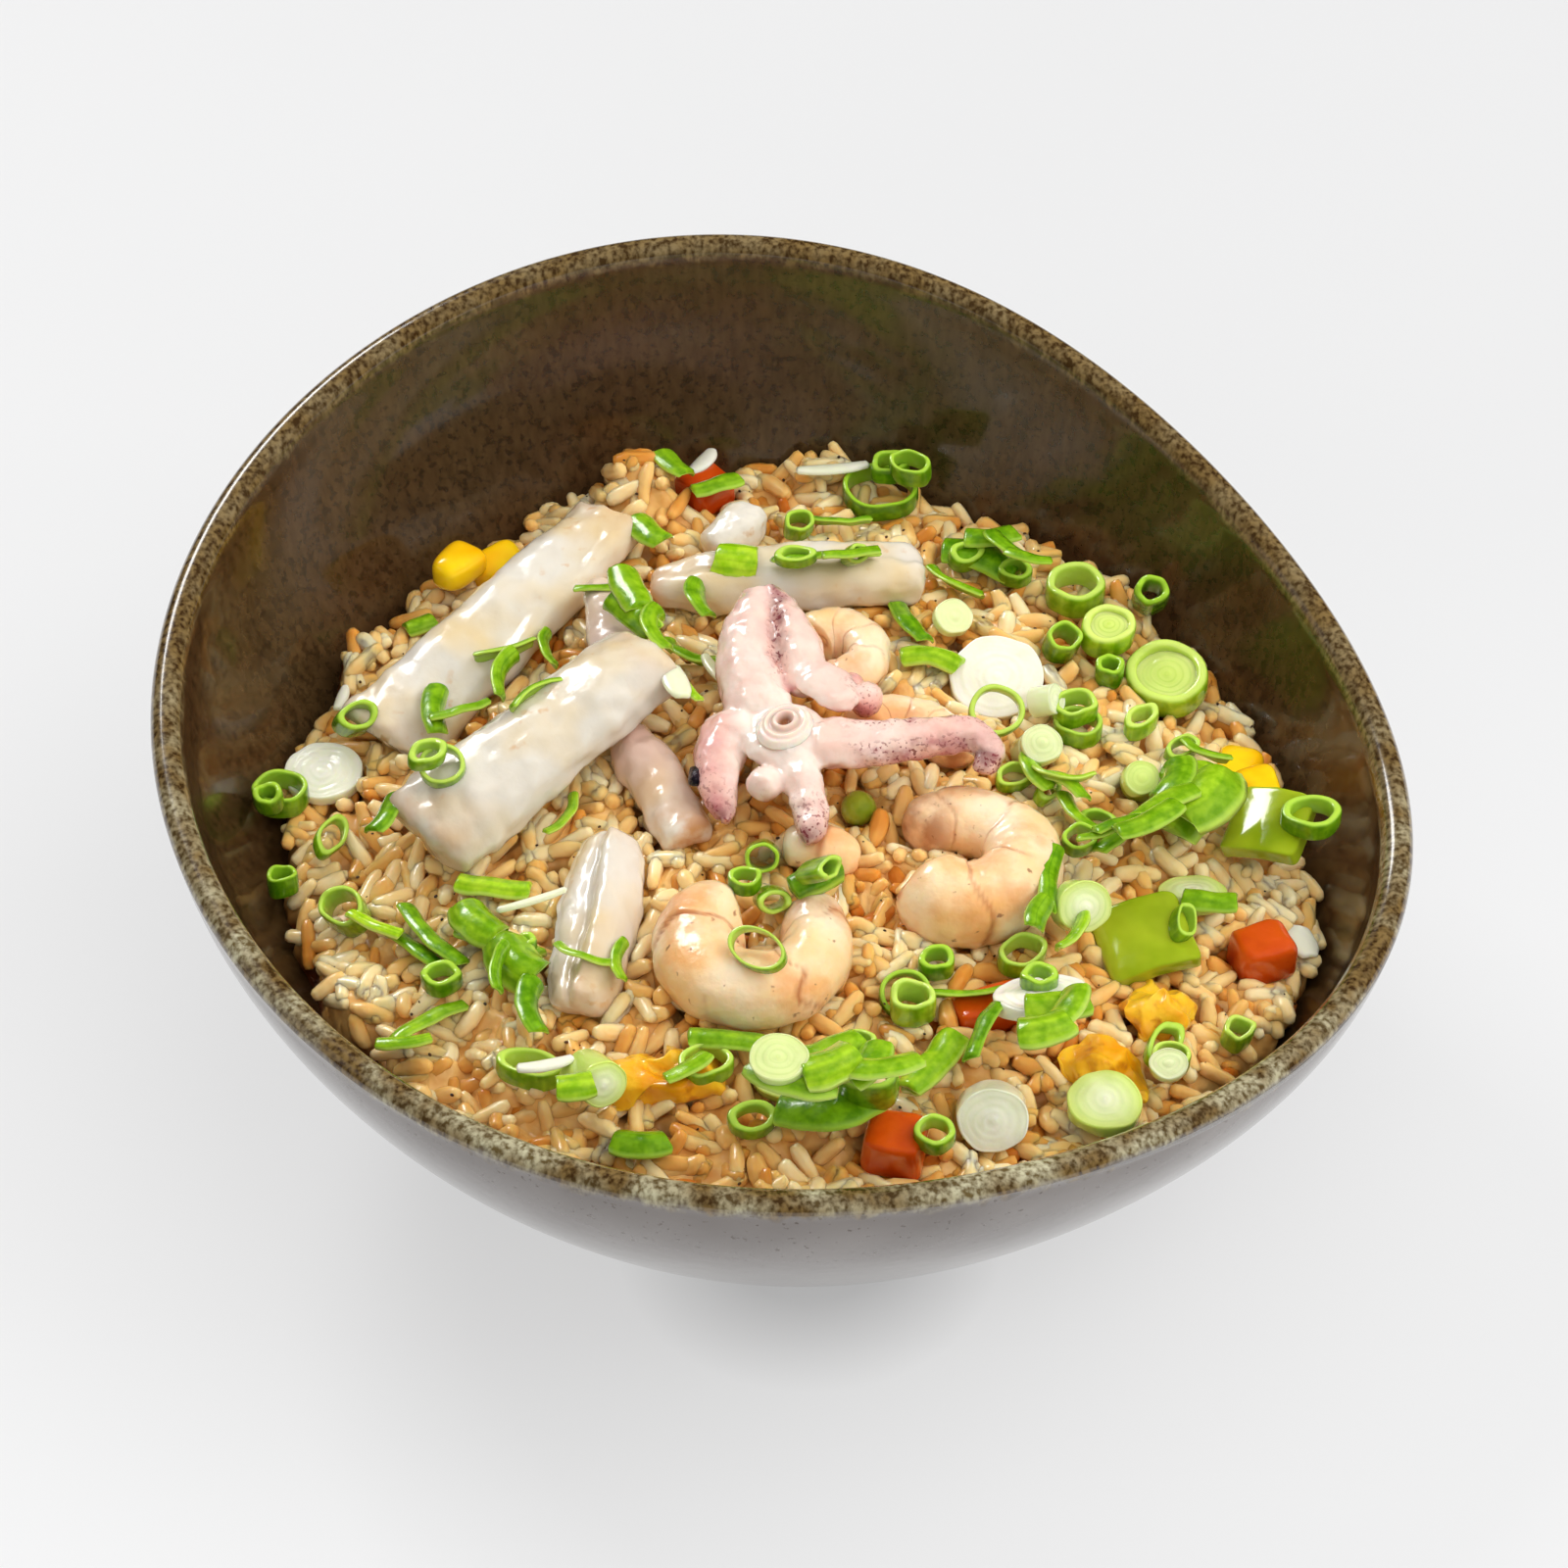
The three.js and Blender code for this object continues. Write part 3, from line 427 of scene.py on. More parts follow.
topping_nodes = [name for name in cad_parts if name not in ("bowl", "rice")]
undersides = np.full((MAP_SIDE, MAP_SIDE), 1e3)
topping_tops = np.full((MAP_SIDE, MAP_SIDE), -1e3)
for name in topping_nodes:
    spots = node_points(name)
    rows, columns = cell_of(spots[:, 0], spots[:, 1])
    np.minimum.at(undersides, (rows, columns), spots[:, 2])
    np.maximum.at(topping_tops, (rows, columns), spots[:, 2])

GRAIN_ROWS = 7
GRAIN_SIDES = 8
grain_lean = np.radians(np.linspace(-76, 76, GRAIN_ROWS))
grain_end = np.sin(grain_lean)
grain_fat = np.cos(grain_lean) ** 0.42
grain_around = np.linspace(0, 2 * math.pi, GRAIN_SIDES, endpoint=False)


def grain_shape(length, width, bend, draw):
    """One grain along X: rounded ends, a slight bend and an uneven girth."""
    rings = []
    taper = draw.uniform(-0.14, 0.14)
    for along, fat in zip(grain_end, grain_fat):
        girth = width / 2 * fat * (1 + taper * along + 0.06 * draw.normal())
        ring = np.stack([
            np.full(GRAIN_SIDES, along * length / 2),
            girth * np.cos(grain_around) + bend * (along * along - 0.4),
            0.86 * girth * np.sin(grain_around),
        ], axis=1)
        rings.append(ring)
    tips = np.array([[-length / 2, bend * 0.6, 0], [length / 2, bend * 0.6, 0]])
    return np.concatenate(rings + [tips])


grain_faces = np.array([
    face if len(face) == 4 else (*face, -1)
    for face in skin_faces(GRAIN_ROWS, GRAIN_SIDES, GRAIN_ROWS * GRAIN_SIDES, GRAIN_ROWS * GRAIN_SIDES + 1)
])

RICE_TRIES = 96000
RICE_BED = 6.5
LONG_SHARE = 0.7
LONG_GRAIN = (6.2, 8.4)
SHORT_GRAIN = (4.2, 6.6)
GRAIN_WIDTH = (2.6, 3.4)
GRAIN_PROBE = 0.55
STEEPEST = 1.1
rice_draw = np.random.default_rng(11)
rows, columns = np.mgrid[0:MAP_SIDE, 0:MAP_SIDE]
cell_x = (columns + 0.5) * CELL - MAP_HALF
cell_y = (rows + 0.5) * CELL - MAP_HALF
rice_top = mound(cell_x, cell_y) - RICE_BED
kinds = {"white": [], "pale": [], "beige": [], "amber": []}
for attempt in range(RICE_TRIES):
    spin = rice_draw.uniform(0, 2 * math.pi)
    reach = RICE_REACH * math.sqrt(rice_draw.uniform(0, 1)) * 1.02
    x, y = reach * math.cos(spin), reach * math.sin(spin)
    heading = rice_draw.uniform(0, math.pi)
    length = rice_draw.uniform(*(LONG_GRAIN if attempt < LONG_SHARE * RICE_TRIES else SHORT_GRAIN))
    width = rice_draw.uniform(*GRAIN_WIDTH)
    along = np.array([-0.8, -0.5, -0.2, 0.2, 0.5, 0.8]) * length / 2
    ahead = np.array([math.cos(heading), math.sin(heading)])
    aside = np.array([-ahead[1], ahead[0]])
    line_x, line_y = x + along * ahead[0], y + along * ahead[1]
    wide = np.array([-GRAIN_PROBE, 0, GRAIN_PROBE])[:, None] * width / 2
    spot_rows, spot_columns = cell_of(line_x + wide * aside[0], line_y + wide * aside[1])
    held = rice_top[spot_rows, spot_columns].max(axis=0)
    left, right = held[:3].argmax(), 3 + held[3:].argmax()
    slope = np.clip((held[right] - held[left]) / (along[right] - along[left]), -STEEPEST, STEEPEST)
    middle = (held - slope * along).max() + rice_draw.uniform(-0.46, 0.12) * width
    level = float(mound(x, y)) + 2.2 * noise.noise((x * 0.10, y * 0.10, 7.0))
    level += 1.4 * noise.noise((x * 0.24, y * 0.24, 2.0))
    level += sum(h * math.exp(-((x - a) ** 2 + (y - b) ** 2) / r ** 2) for a, b, h, r in LUMPS)
    if middle > level + rice_draw.uniform(-0.4, 1.1):
        continue
    if (undersides[spot_rows, spot_columns] < middle + slope * along + 0.35 * width).any():
        continue
    ends = np.array([-1, 1]) * length / 2
    end_x, end_y = x + ends * ahead[0], y + ends * ahead[1]
    end_z = middle + slope * ends
    wall_room = inner_radius(np.arctan2(end_y, end_x), end_z) - np.hypot(end_x, end_y)
    if wall_room.min() < width * 0.42:
        continue
    bend = rice_draw.uniform(-0.7, 0.7)
    grain = grain_shape(length, width, bend, rice_draw)
    pitch = math.atan(slope)
    roll = rice_draw.uniform(0, 2 * math.pi)
    turn = np.array(Matrix.Rotation(heading, 3, "Z") @ Matrix.Rotation(-pitch, 3, "Y")
                    @ Matrix.Rotation(roll, 3, "X"))
    placed = grain @ turn.T + (x, y, middle)
    # Deeper grains take darker, more amber kinds: painted shade in the gaps as well as sauce. Grains at the
    # front left and front right are made paler.
    depth = (float(mound(x, y)) + 0.5 - middle) / RICE_BED
    sauce_and_painted_shade = rice_draw.uniform(0, 1) + 1.5 * max(0, depth) + 0.5 * noise.noise((x * 0.06, y * 0.06, 3.1))
    sauce_and_painted_shade -= 0.35 * math.exp(-((x + 58) ** 2 + (y + 34) ** 2) / 34 ** 2)
    sauce_and_painted_shade -= 0.25 * math.exp(-((x - 66) ** 2 + (y + 18) ** 2) / 26 ** 2)
    kind = "white" if sauce_and_painted_shade < 0.40 else "pale" if sauce_and_painted_shade < 0.84 else "beige" if sauce_and_painted_shade < 1.36 else "amber"
    kinds[kind].append((placed, rice_draw.uniform(0, 1)))
    fill_along = np.linspace(-0.9, 0.9, 15) * length / 2
    fill_across = np.linspace(-0.85, 0.85, 6) * width / 2
    fill_x = x + fill_along[:, None] * ahead[0] + fill_across * aside[0]
    fill_y = y + fill_along[:, None] * ahead[1] + fill_across * aside[1]
    crown = np.sqrt(np.maximum(0, (width / 2) ** 2 - fill_across ** 2))
    fill_rows, fill_columns = cell_of(fill_x, fill_y)
    np.maximum.at(rice_top, (fill_rows, fill_columns),
                  middle + slope * fill_along[:, None] + 0.86 * crown)


def rice_material(name, pale, warm, gloss):
    """Cooked grain: cloudy white starch inside, stained warmer by sauce, with an oily film."""
    made = Finish(name)
    own = made.on_points("own")
    stain = made.mottled(160, 0.38, 0.62, 1.0)
    stained = made.times(stain, 0.7)
    mixed = made.maths("ADD", stained, made.times(own, 0.5), clamp=True)
    made.colour(made.blend(mixed, pale, warm))
    made.surface(0.33, glow=0.7, radius=(1.0, 0.8, 0.55), scale=0.0018, coat=gloss, coat_roughness=0.1)
    made.bump(made.mottled(900, 0.25, 0.75, 0.5), 0.3, 0.0003)
    return made


rice_finishes = {
    "white": rice_material("rice_white", rgb(250, 225, 178), rgb(243, 204, 138), 0.6),
    "pale": rice_material("rice_pale", rgb(244, 208, 144), rgb(234, 178, 96), 0.6),
    "beige": rice_material("rice_beige", rgb(233, 178, 96), rgb(213, 140, 54), 0.6),
    "amber": rice_material("rice_amber", rgb(213, 136, 48), rgb(180, 94, 18), 0.5),
}
for kind, grains in kinds.items():
    per_grain = GRAIN_ROWS * GRAIN_SIDES + 2
    points = np.concatenate([grain for grain, _ in grains])
    own = np.repeat([tint for _, tint in grains], per_grain)
    faces = []
    for k in range(len(grains)):
        start = k * per_grain
        faces.extend(tuple(int(c) + start for c in face if c >= 0) for face in grain_faces)
    add_piece(f"rice_grains_{kind}", points, faces, rice_finishes[kind],
              ["rice"] if kind == "white" else None, {"own": own})


# Noise vectors start from the clock unless they are seeded: with a seed every run is alike.
NOISE_SEED = 11
noise.seed_set(NOISE_SEED)


def roughened(points, amount, per_mm, seed=0.0):
    """Points moved a little by smooth noise, amount and spacing in millimetres."""
    moved = [noise.noise_vector(Vector(p) * per_mm + Vector((seed, 0, 0))) for p in points]
    return points + amount * np.array(moved)


def blurred(field, reach):
    """A height map smoothed over a number of cells each way."""
    kernel = np.exp(-0.5 * (np.arange(-3 * reach, 3 * reach + 1) / reach) ** 2)
    kernel /= kernel.sum()
    for axis in (0, 1):
        field = np.apply_along_axis(np.convolve, axis, field, kernel, mode="same")
    return field


FILM_RINGS = 150
FILM_COLUMNS = 480
FILM_DEPTH = 2.4
sticky = np.array([noise.noise((x * 0.13, y * 0.13, 5.0)) for x, y in zip(cell_x.ravel(), cell_y.ravel())])
film_depth = np.clip(FILM_DEPTH - 3.6 * sticky.reshape(cell_x.shape), 0.9, 4.2)
packed_top = np.minimum(blurred(rice_top, 2) - film_depth, undersides - 0.8)


def core_skin():
    """Packed rice and starch under the grains, down to the bowl's floor, and how deep each point is."""
    angle = np.linspace(0, 2 * math.pi, FILM_COLUMNS, endpoint=False)
    edge = np.full(FILM_COLUMNS, float(RICE_REACH))
    for _ in range(5):
        level = mound(edge * np.cos(angle), edge * np.sin(angle)) - 2
        edge = inner_radius(angle, level) - 0.6
    rings, depths = [], []
    for ring in range(1, FILM_RINGS + 1):
        x = edge * ring / FILM_RINGS * np.cos(angle)
        y = edge * ring / FILM_RINGS * np.sin(angle)
        rows, columns = cell_of(x, y)
        height = packed_top[rows, columns]
        rings.append(np.stack([x, y, height], axis=1))
        depths.append(mound(x, y) - height)
    for part in (0.7, 0.4, 0.0):
        height = np.full(FILM_COLUMNS, FLOOR + 0.8 + part * 38)
        radius = inner_radius(angle, height) - 0.6
        rings.append(np.stack([radius * np.cos(angle), radius * np.sin(angle), height], axis=1))
        depths.append(np.full(FILM_COLUMNS, 4.0))
    row, column = cell_of(0, 0)
    points = np.concatenate(rings + [[[0, 0, packed_top[row, column]]], [[0, 0, FLOOR + 0.8]]])
    depth = np.append(np.concatenate(depths), [2.0, 4.0])
    return points, skin_faces(len(rings), FILM_COLUMNS, len(points) - 2, len(points) - 1), depth


core_points, core_faces, core_depth = core_skin()
core_points = np.concatenate([roughened(core_points[:-1], 0.35, 0.9), core_points[-1:]])
packed = Finish("packed_rice")
packed_stain = packed.blend(packed.mottled(260, 0.35, 0.65), rgb(218, 156, 78), rgb(238, 192, 114))
# The packed rice darkens to deep brown with depth under the grains: painted shade in the gaps between them,
# partly sauce.
packed_painted_shade = packed.remap(packed.on_points("depth"), 1.1, 4.2)
packed.colour(packed.blend(packed_painted_shade, packed_stain, rgb(96, 42, 8)))
packed.surface(0.36)
packed.bump(packed.mottled(420, 0.2, 0.8, 1.0), 0.5, 0.0008)
add_piece("rice_core", core_points, core_faces, packed, None, {"depth": core_depth})

# The squid body: a mantle cut in strips, curled by the heat into arched and doubled slabs,
# white and wet, creamy where thick, pink under the skin side and singed at some ends.
FLESH_SIDES = 64


def smooth_line(stops, places):
    """Values along a smooth curve through the stops, at places from 0 to 1."""
    stops = np.asarray(stops, float)
    padded = np.concatenate([[2 * stops[0] - stops[1]], stops, [2 * stops[-1] - stops[-2]]])
    spot = np.asarray(places) * (len(stops) - 1)
    k = np.minimum(spot.astype(int), len(stops) - 2)
    t = (spot - k)[:, None]
    before, start, end, after = padded[k], padded[k + 1], padded[k + 2], padded[k + 3]
    return 0.5 * (2 * start + (end - before) * t + (2 * before - 5 * start + 4 * end - after) * t ** 2
                  + (3 * start - before - 3 * end + after) * t ** 3)


def unit(vectors):
    return vectors / np.maximum(np.linalg.norm(vectors, axis=1, keepdims=True), 1e-9)


def swept(stops, outline, steps=60, roll=0.0, cap=1.2):
    """Rings along a smooth line of stops [x, y, z, half width, half thickness], eased in at both ends."""
    even = np.linspace(0, 1, steps + 1)
    places = 0.6 * even + 0.4 * (0.5 - 0.5 * np.cos(math.pi * even))
    line = smooth_line(stops, places)
    middle, halves = line[:, :3], line[:, 3:5]
    along = unit(np.gradient(middle, axis=0))
    side = unit(np.cross(along, (0, 0, 1)))
    lift = np.cross(side, along)
    turn = np.radians(np.interp(places, [0, 1], np.broadcast_to(roll, 2)))[:, None]
    side, lift = side * np.cos(turn) + lift * np.sin(turn), lift * np.cos(turn) - side * np.sin(turn)
    gone = np.concatenate([[0], np.cumsum(np.linalg.norm(np.diff(middle, axis=0), axis=1))])
    from_end = np.minimum(gone, gone[-1] - gone)
    inset = cap - np.sqrt(np.maximum(0, cap ** 2 - np.maximum(0, cap - from_end) ** 2))
    rings = []
    for k, place in enumerate(places):
        shape = outline(place, halves[k]) * (1 - inset[k] / halves[k])
        rings.append(middle[k] + shape[:, :1] * side[k] + shape[:, 1:] * lift[k])
    points = np.concatenate(rings + [middle[:1], middle[-1:]])
    faces = skin_faces(steps + 1, len(rings[0]), len(points) - 2, len(points) - 1)
    spread = len(rings[0])
    values = {
        "gone": np.append(np.repeat(gone, spread), [0, gone[-1]]),
        "left": np.append(np.repeat(gone[-1] - gone, spread), [gone[-1], 0]),
    }
    return points, faces, values


def onto_solid(points, name, only_height=False):
    """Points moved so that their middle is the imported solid's."""
    low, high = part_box(name)
    move = (np.array(low) + np.array(high)) / 2 / MM - (points.min(axis=0) + points.max(axis=0)) / 2
    if only_height:
        move[:2] = 0
    return points + move


def over_mound(stops):
    """Stops given as [x, y, height over the mound, ...] with true heights."""
    return [[x, y, float(mound(x, y)) + over, *rest] for x, y, over, *rest in stops]


def evenly(outline_points, count):
    """A closed outline's points spread evenly along it."""
    closed = np.concatenate([outline_points, outline_points[:1]])
    run = np.concatenate([[0], np.cumsum(np.linalg.norm(np.diff(closed, axis=0), axis=1))])
    wanted = np.linspace(0, run[-1], count, endpoint=False)
    return np.stack([np.interp(wanted, run, closed[:, 0]), np.interp(wanted, run, closed[:, 1])], axis=1)


dense_turn = np.linspace(0, 2 * math.pi, 400, endpoint=False)


def flesh_outline(square=3.6, arch=0.0, groove=0.0, groove_at=0.0, shelf=0.0, groove_width=0.2):
    """A slab's outline: squareness, arch, a groove along its top and one side lower than the other."""
    across = np.sign(np.cos(dense_turn)) * np.abs(np.cos(dense_turn)) ** (2 / square)
    upward = np.sign(np.sin(dense_turn)) * np.abs(np.sin(dense_turn)) ** (2 / square)
    top = np.clip(upward * 2, 0, 1)
    height = upward + arch * (0.6 - across ** 2)
    height = height - top * 2 * groove * np.exp(-((across - groove_at) / groove_width) ** 2)
    height = height - top * shelf / (1 + np.exp(-(across - groove_at) * 14))

    def outline(place, half):
        return evenly(np.stack([half[0] * across, half[1] * height], axis=1), FLESH_SIDES)
    return outline


squid_flesh = Finish("squid_flesh")
squid_cream = squid_flesh.blend(squid_flesh.mottled(75, 0.38, 0.66, 2.0),
                                rgb(221, 214, 200), rgb(220, 199, 158))
squid_blush = squid_flesh.blend(squid_flesh.on_points("blush"), squid_cream, rgb(228, 176, 156))
squid_spots = squid_flesh.times(squid_flesh.mottled(420, 0.60, 0.72, 3.0), squid_flesh.mottled(70, 0.5, 0.62))
squid_spotted = squid_flesh.blend(squid_flesh.times(squid_spots, 0.8), squid_blush, rgb(210, 164, 112))
singe_mask = squid_flesh.times(squid_flesh.on_points("singe"), squid_flesh.mottled(190, 0.32, 0.58, 4.0))
squid_flesh.colour(squid_flesh.blend(singe_mask, squid_spotted, rgb(204, 146, 92)))
squid_flesh.surface(0.27, glow=0.55, radius=(0.9, 0.82, 0.72), scale=0.003, coat=0.7, coat_roughness=0.08)
squid_flesh.bump(squid_flesh.mottled(300, 0.2, 0.8, 3.0), 0.22, 0.0005)


def squid_piece(name, stops, outline, solid=None, singe=(0.0, 0.0), blush=(0.0, 0.0), roll=0.0,
                cap=1.4, wobble=0.5, seed=0.0):
    """One strip of squid; singe and blush give the amount at its first and last end."""
    points, faces, values = swept(over_mound(stops), outline, roll=roll, cap=cap)
    points = roughened(points, wobble, 0.11, seed)
    points = roughened(points, 0.45 * wobble, 0.34, seed)
    points = roughened(points, 0.12, 0.9, seed)
    if solid:
        points = onto_solid(points, solid, only_height=True)
    near_first, near_last = np.exp(-values["gone"] / 5), np.exp(-values["left"] / 5)
    even = values["gone"] / values["gone"].max()
    add_piece(name, points, faces, squid_flesh, [solid] if solid else None, {
        "singe": np.clip(singe[0] * near_first + singe[1] * near_last, 0, 1),
        "blush": blush[0] + (blush[1] - blush[0]) * even,
    })
    return points


squid_piece("squid_back_left_strip", [
    [-71, 16, 4.0, 10.6, 2.2], [-64.5, 25, 4.0, 8.4, 3.2], [-54, 38, 4.6, 8.2, 3.7],
    [-44, 51.5, 5.0, 7.4, 3.8], [-34, 65, 5.2, 6.8, 3.4],
], flesh_outline(3.0, arch=0.2, groove=0.12, groove_at=0.4, groove_width=0.35), "squid_back_left",
    singe=(0.3, 0.4), roll=(-16, 6), cap=2.2, wobble=1.0, seed=3)
squid_piece("squid_pale_strip_between", [[-57, 9, 3, 4, 2.4], [-46, 17, 3.5, 4.6, 2.6], [-38, 25, 4, 4, 2.2]],
            flesh_outline(2.6, arch=0.3), "squid_between", blush=(0.1, 0.2), seed=5)
squid_piece("squid_pink_strip", [[-35, 46, 4, 3.6, 1.6], [-32.5, 33, 5, 5.0, 2.2], [-32, 20, 4, 4.4, 2]],
            flesh_outline(2.8, arch=0.4, groove=0.12, groove_at=-0.2), "squid_pink",
            blush=(0.25, 0.5), wobble=0.8, seed=8)
squid_piece("squid_tapered_strip", [
    [-30, 11, 4, 3.2, 2.6], [-27, 4.5, 3.8, 4.4, 3.1], [-23, -4, 3.4, 4.8, 3.4], [-19, -13, 3, 4.0, 3.0],
], flesh_outline(2.6, arch=0.3), "squid_tapered", singe=(0.2, 1), blush=(0.8, 0.0), cap=2.0,
    wobble=0.9, seed=11)
squid_piece("squid_doubled_strip", [
    [-31.5, -12, 4, 4.4, 3.0], [-32.4, -19, 3.8, 5.8, 3.8], [-33.5, -29, 3.6, 6.4, 4],
    [-35, -40, 3.3, 6.2, 3.9], [-36.5, -47, 3, 4.8, 3.4],
], flesh_outline(2.6, arch=0.2, groove=0.16, groove_at=0.25, groove_width=0.16, shelf=0.55), "squid_rolled",
    singe=(0.3, 0.4), blush=(0.0, 0.12), cap=2.6, wobble=0.8, seed=14)
squid_piece("squid_lobed_strip", [
    [-27, 46.5, 3.8, 3.2, 2.4], [-18, 47.0, 4.8, 5.6, 3.6], [-4, 48, 5.5, 6.4, 4], [9, 50.2, 5, 6.4, 4],
    [19, 52, 4.5, 5.8, 3.8],
], flesh_outline(2.8, arch=0.25, groove=0.10, groove_at=-0.1, groove_width=0.4), "squid_right_back",
    singe=(0.8, 0.1), cap=2.0, wobble=0.9, seed=17)
squid_piece("squid_white_stub", [[-17, 58.5, 2.5, 3.4, 3], [-12.5, 63, 4, 4.2, 3.8], [-11, 67, 4, 3.8, 3.4]],
            flesh_outline(3.4, arch=0.15), "squid_stub", seed=20)
squid_piece("squid_front_left_strip", [
    [-62.5, -13.5, 5, 8.8, 3.8], [-54.5, -6.5, 5.8, 9.2, 4.4], [-44.5, 2, 6.5, 8.2, 4.5],
    [-35, 11, 7.5, 7.8, 4.3], [-26, 19.5, 8.5, 8.6, 4.0],
], flesh_outline(3.2, arch=0.3), "squid_front_left",
    singe=(0.5, 0.4), roll=(-14, 4), cap=2.4, wobble=1.1, seed=23)

# Tentacles: the crown of arms cut off below the squid's eyes and curled open in the pan.
# Arms taper from a webbed ring round the mouth, pink at the skin and freckled purple.
CROWN_X, CROWN_Y = -4, 1.5
CROWN_ARMS = {
    "upper_left": [[-3.5, 4, 0.2, 5.4, 3.6], [-6.2, 14, 1.4, 5.3, 4.4], [-5.8, 24, 2.8, 4.3, 4],
                   [-3.6, 32, 3.8, 2.5, 2.6]],
    "upper_right": [[-3.6, 32, 3.8, 2.4, 2.4], [0, 25.5, 3.2, 3.2, 3.4], [2.6, 18, 2.2, 3.7, 3.4],
                    [4.2, 9, 1, 3.4, 2.6]],
    "left": [[-5, 4, -0.4, 4.4, 3.2], [-9.6, 1, -1.6, 4.4, 3.8], [-11, -6, -2.8, 3.8, 3.2],
             [-10, -12, -4, 2.6, 2.2], [-9.4, -15.5, -4.6, 1.2, 1.2]],
    "lower": [[1.5, -4, -1, 3.8, 3], [3.4, -11, -2.2, 3.2, 2.8], [4.4, -17, -3.4, 2.8, 2.5],
              [3.4, -21, -4.1, 1.8, 1.6]],
    "right": [[4, -1, -0.5, 5.4, 3.4], [12, -1.4, -0.6, 4.7, 3.2], [22, -0.2, -0.4, 3.9, 3],
              [29.5, 0.6, -0.2, 3.2, 3], [33.5, -2.5, -1.6, 2.5, 2.2], [30.5, -5.6, -2.4, 1.8, 1.6]],
    "flap": [[1.5, 12, 2.6, 3.2, 1.5], [6.5, 10, 2.6, 4.2, 1.6], [11, 4.5, 1.6, 2.6, 1.4]],
}
CROWN_BALLS = [(13.2, 9.5, -0.5, 3.0), (11, 12.5, -0.2, 2.2), (-3.2, -9.6, -1.6, 2.9)]
ball_turn = np.linspace(0, 2 * math.pi, 28, endpoint=False)


def round_outline(place, half):
    return np.stack([half[0] * np.cos(ball_turn), half[1] * np.sin(ball_turn)], axis=1)


def ball(x, y, z, a, b, c, rows=16, sides=28):
    """A closed ball of points with half sizes a, b and c."""
    turn = np.linspace(0, 2 * math.pi, sides, endpoint=False)
    polar = np.linspace(-math.pi / 2, math.pi / 2, rows + 2)[1:-1]
    rings = [np.stack([a * math.cos(p) * np.cos(turn), b * math.cos(p) * np.sin(turn),
                       np.full(sides, c * math.sin(p))], axis=1) for p in polar]
    points = np.concatenate(rings + [[[0, 0, -c]], [[0, 0, c]]]) + (x, y, z)
    return points, skin_faces(rows, sides, rows * sides, rows * sides + 1)


def melted_together(name, parts, voxel, smoothing):
    """Closed shapes in millimetres joined into one skin; gives its points and faces."""
    points, faces = [], []
    for part_points, part_faces in parts:
        start = sum(len(p) for p in points)
        points.append(part_points)
        faces.extend(tuple(c + start for c in face) for face in part_faces)
    mesh = bpy.data.meshes.new(name + "_rough")
    mesh.from_pydata(np.concatenate(points).tolist(), [], faces)
    rough = bpy.data.objects.new(name + "_rough", mesh)
    bpy.context.scene.collection.objects.link(rough)
    remesh = rough.modifiers.new("melt", "REMESH")
    remesh.mode = "VOXEL"
    remesh.voxel_size = voxel
    soften = rough.modifiers.new("soften", "SMOOTH")
    soften.factor = 0.5
    soften.iterations = smoothing
    melted = rough.evaluated_get(bpy.context.evaluated_depsgraph_get()).to_mesh()
    joined_points = np.array([v.co for v in melted.vertices])
    joined_faces = [tuple(p.vertices) for p in melted.polygons]
    bpy.data.objects.remove(rough)
    return joined_points, joined_faces


crown_parts = [swept(stops, round_outline, steps=30, cap=2.4)[:2] for stops in CROWN_ARMS.values()]
crown_parts.append(ball(0, 0, -0.3, 7.4, 7.4, 3.3))
crown_parts += [ball(x, y, z, radius, radius, radius) for x, y, z, radius in CROWN_BALLS]
crown_points, crown_faces = melted_together("tentacles", crown_parts, 0.42, 4)
arm_lines = np.concatenate([
    np.column_stack([smooth_line(stops, np.linspace(0, 1, 40)), np.linspace(0, 1, 40)])
    for stops in CROWN_ARMS.values()
])
from_mouth = np.hypot(crown_points[:, 0], crown_points[:, 1])
arm_gap = np.linalg.norm(crown_points[:, None, :] - arm_lines[None, :, :3], axis=2)
nearest = arm_lines[arm_gap.argmin(axis=1)]
crest = (crown_points[:, 2] - nearest[:, 2]) / np.maximum(nearest[:, 4], 1)
on_right_arm = np.clip((crown_points[:, 0] - 8) / 8, 0, 1)
pinkness = np.clip((from_mouth - 6) / 18, 0, 1) * 0.45 + 0.8 * np.clip(0.35 - crest, 0, 1)
on_left_arm = np.clip((-crown_points[:, 0] - 7) / 4, 0, 1) * (crown_points[:, 1] < 3)
pinkness = np.clip(pinkness + 0.5 * on_left_arm, 0, 1)
fold = np.exp(-((crown_points[:, 0] + 1.2) / 1.3) ** 2) * np.clip((crown_points[:, 1] - 9) / 6, 0, 1)
side_lines = np.exp(-((crown_points[:, 1] - nearest[:, 1] - 1.8) / 1.3) ** 2) * on_right_arm
side_lines += 0.8 * np.exp(-((crown_points[:, 1] - nearest[:, 1] + 3.0) / 0.7) ** 2) * on_right_arm
tips = np.clip((from_mouth - 12) / 8, 0, 1) * (crown_points[:, 1] < -4)
freckle = np.clip(fold + side_lines + tips, 0, 1)
tip_spots = np.array([[32, -4, -2], [-9.6, -14.5, -4.5], [3.4, -20.5, -4]])
tip_gap = np.linalg.norm(crown_points[:, None, :] - tip_spots[None], axis=2)
dark_tip = np.exp(-(tip_gap / (3.4, 2.2, 2.4)) ** 2).sum(axis=1)
dark_tip = np.clip(dark_tip + 0.7 * fold * (crown_points[:, 1] > 16), 0, 1)
crown_points = roughened(crown_points, 0.5, 0.35, 2)
crown_points = roughened(crown_points, 0.12, 1.1, 4)
crown_points = crown_points + (CROWN_X, CROWN_Y, 0)
crown_points = onto_solid(crown_points, "tentacles", only_height=True)

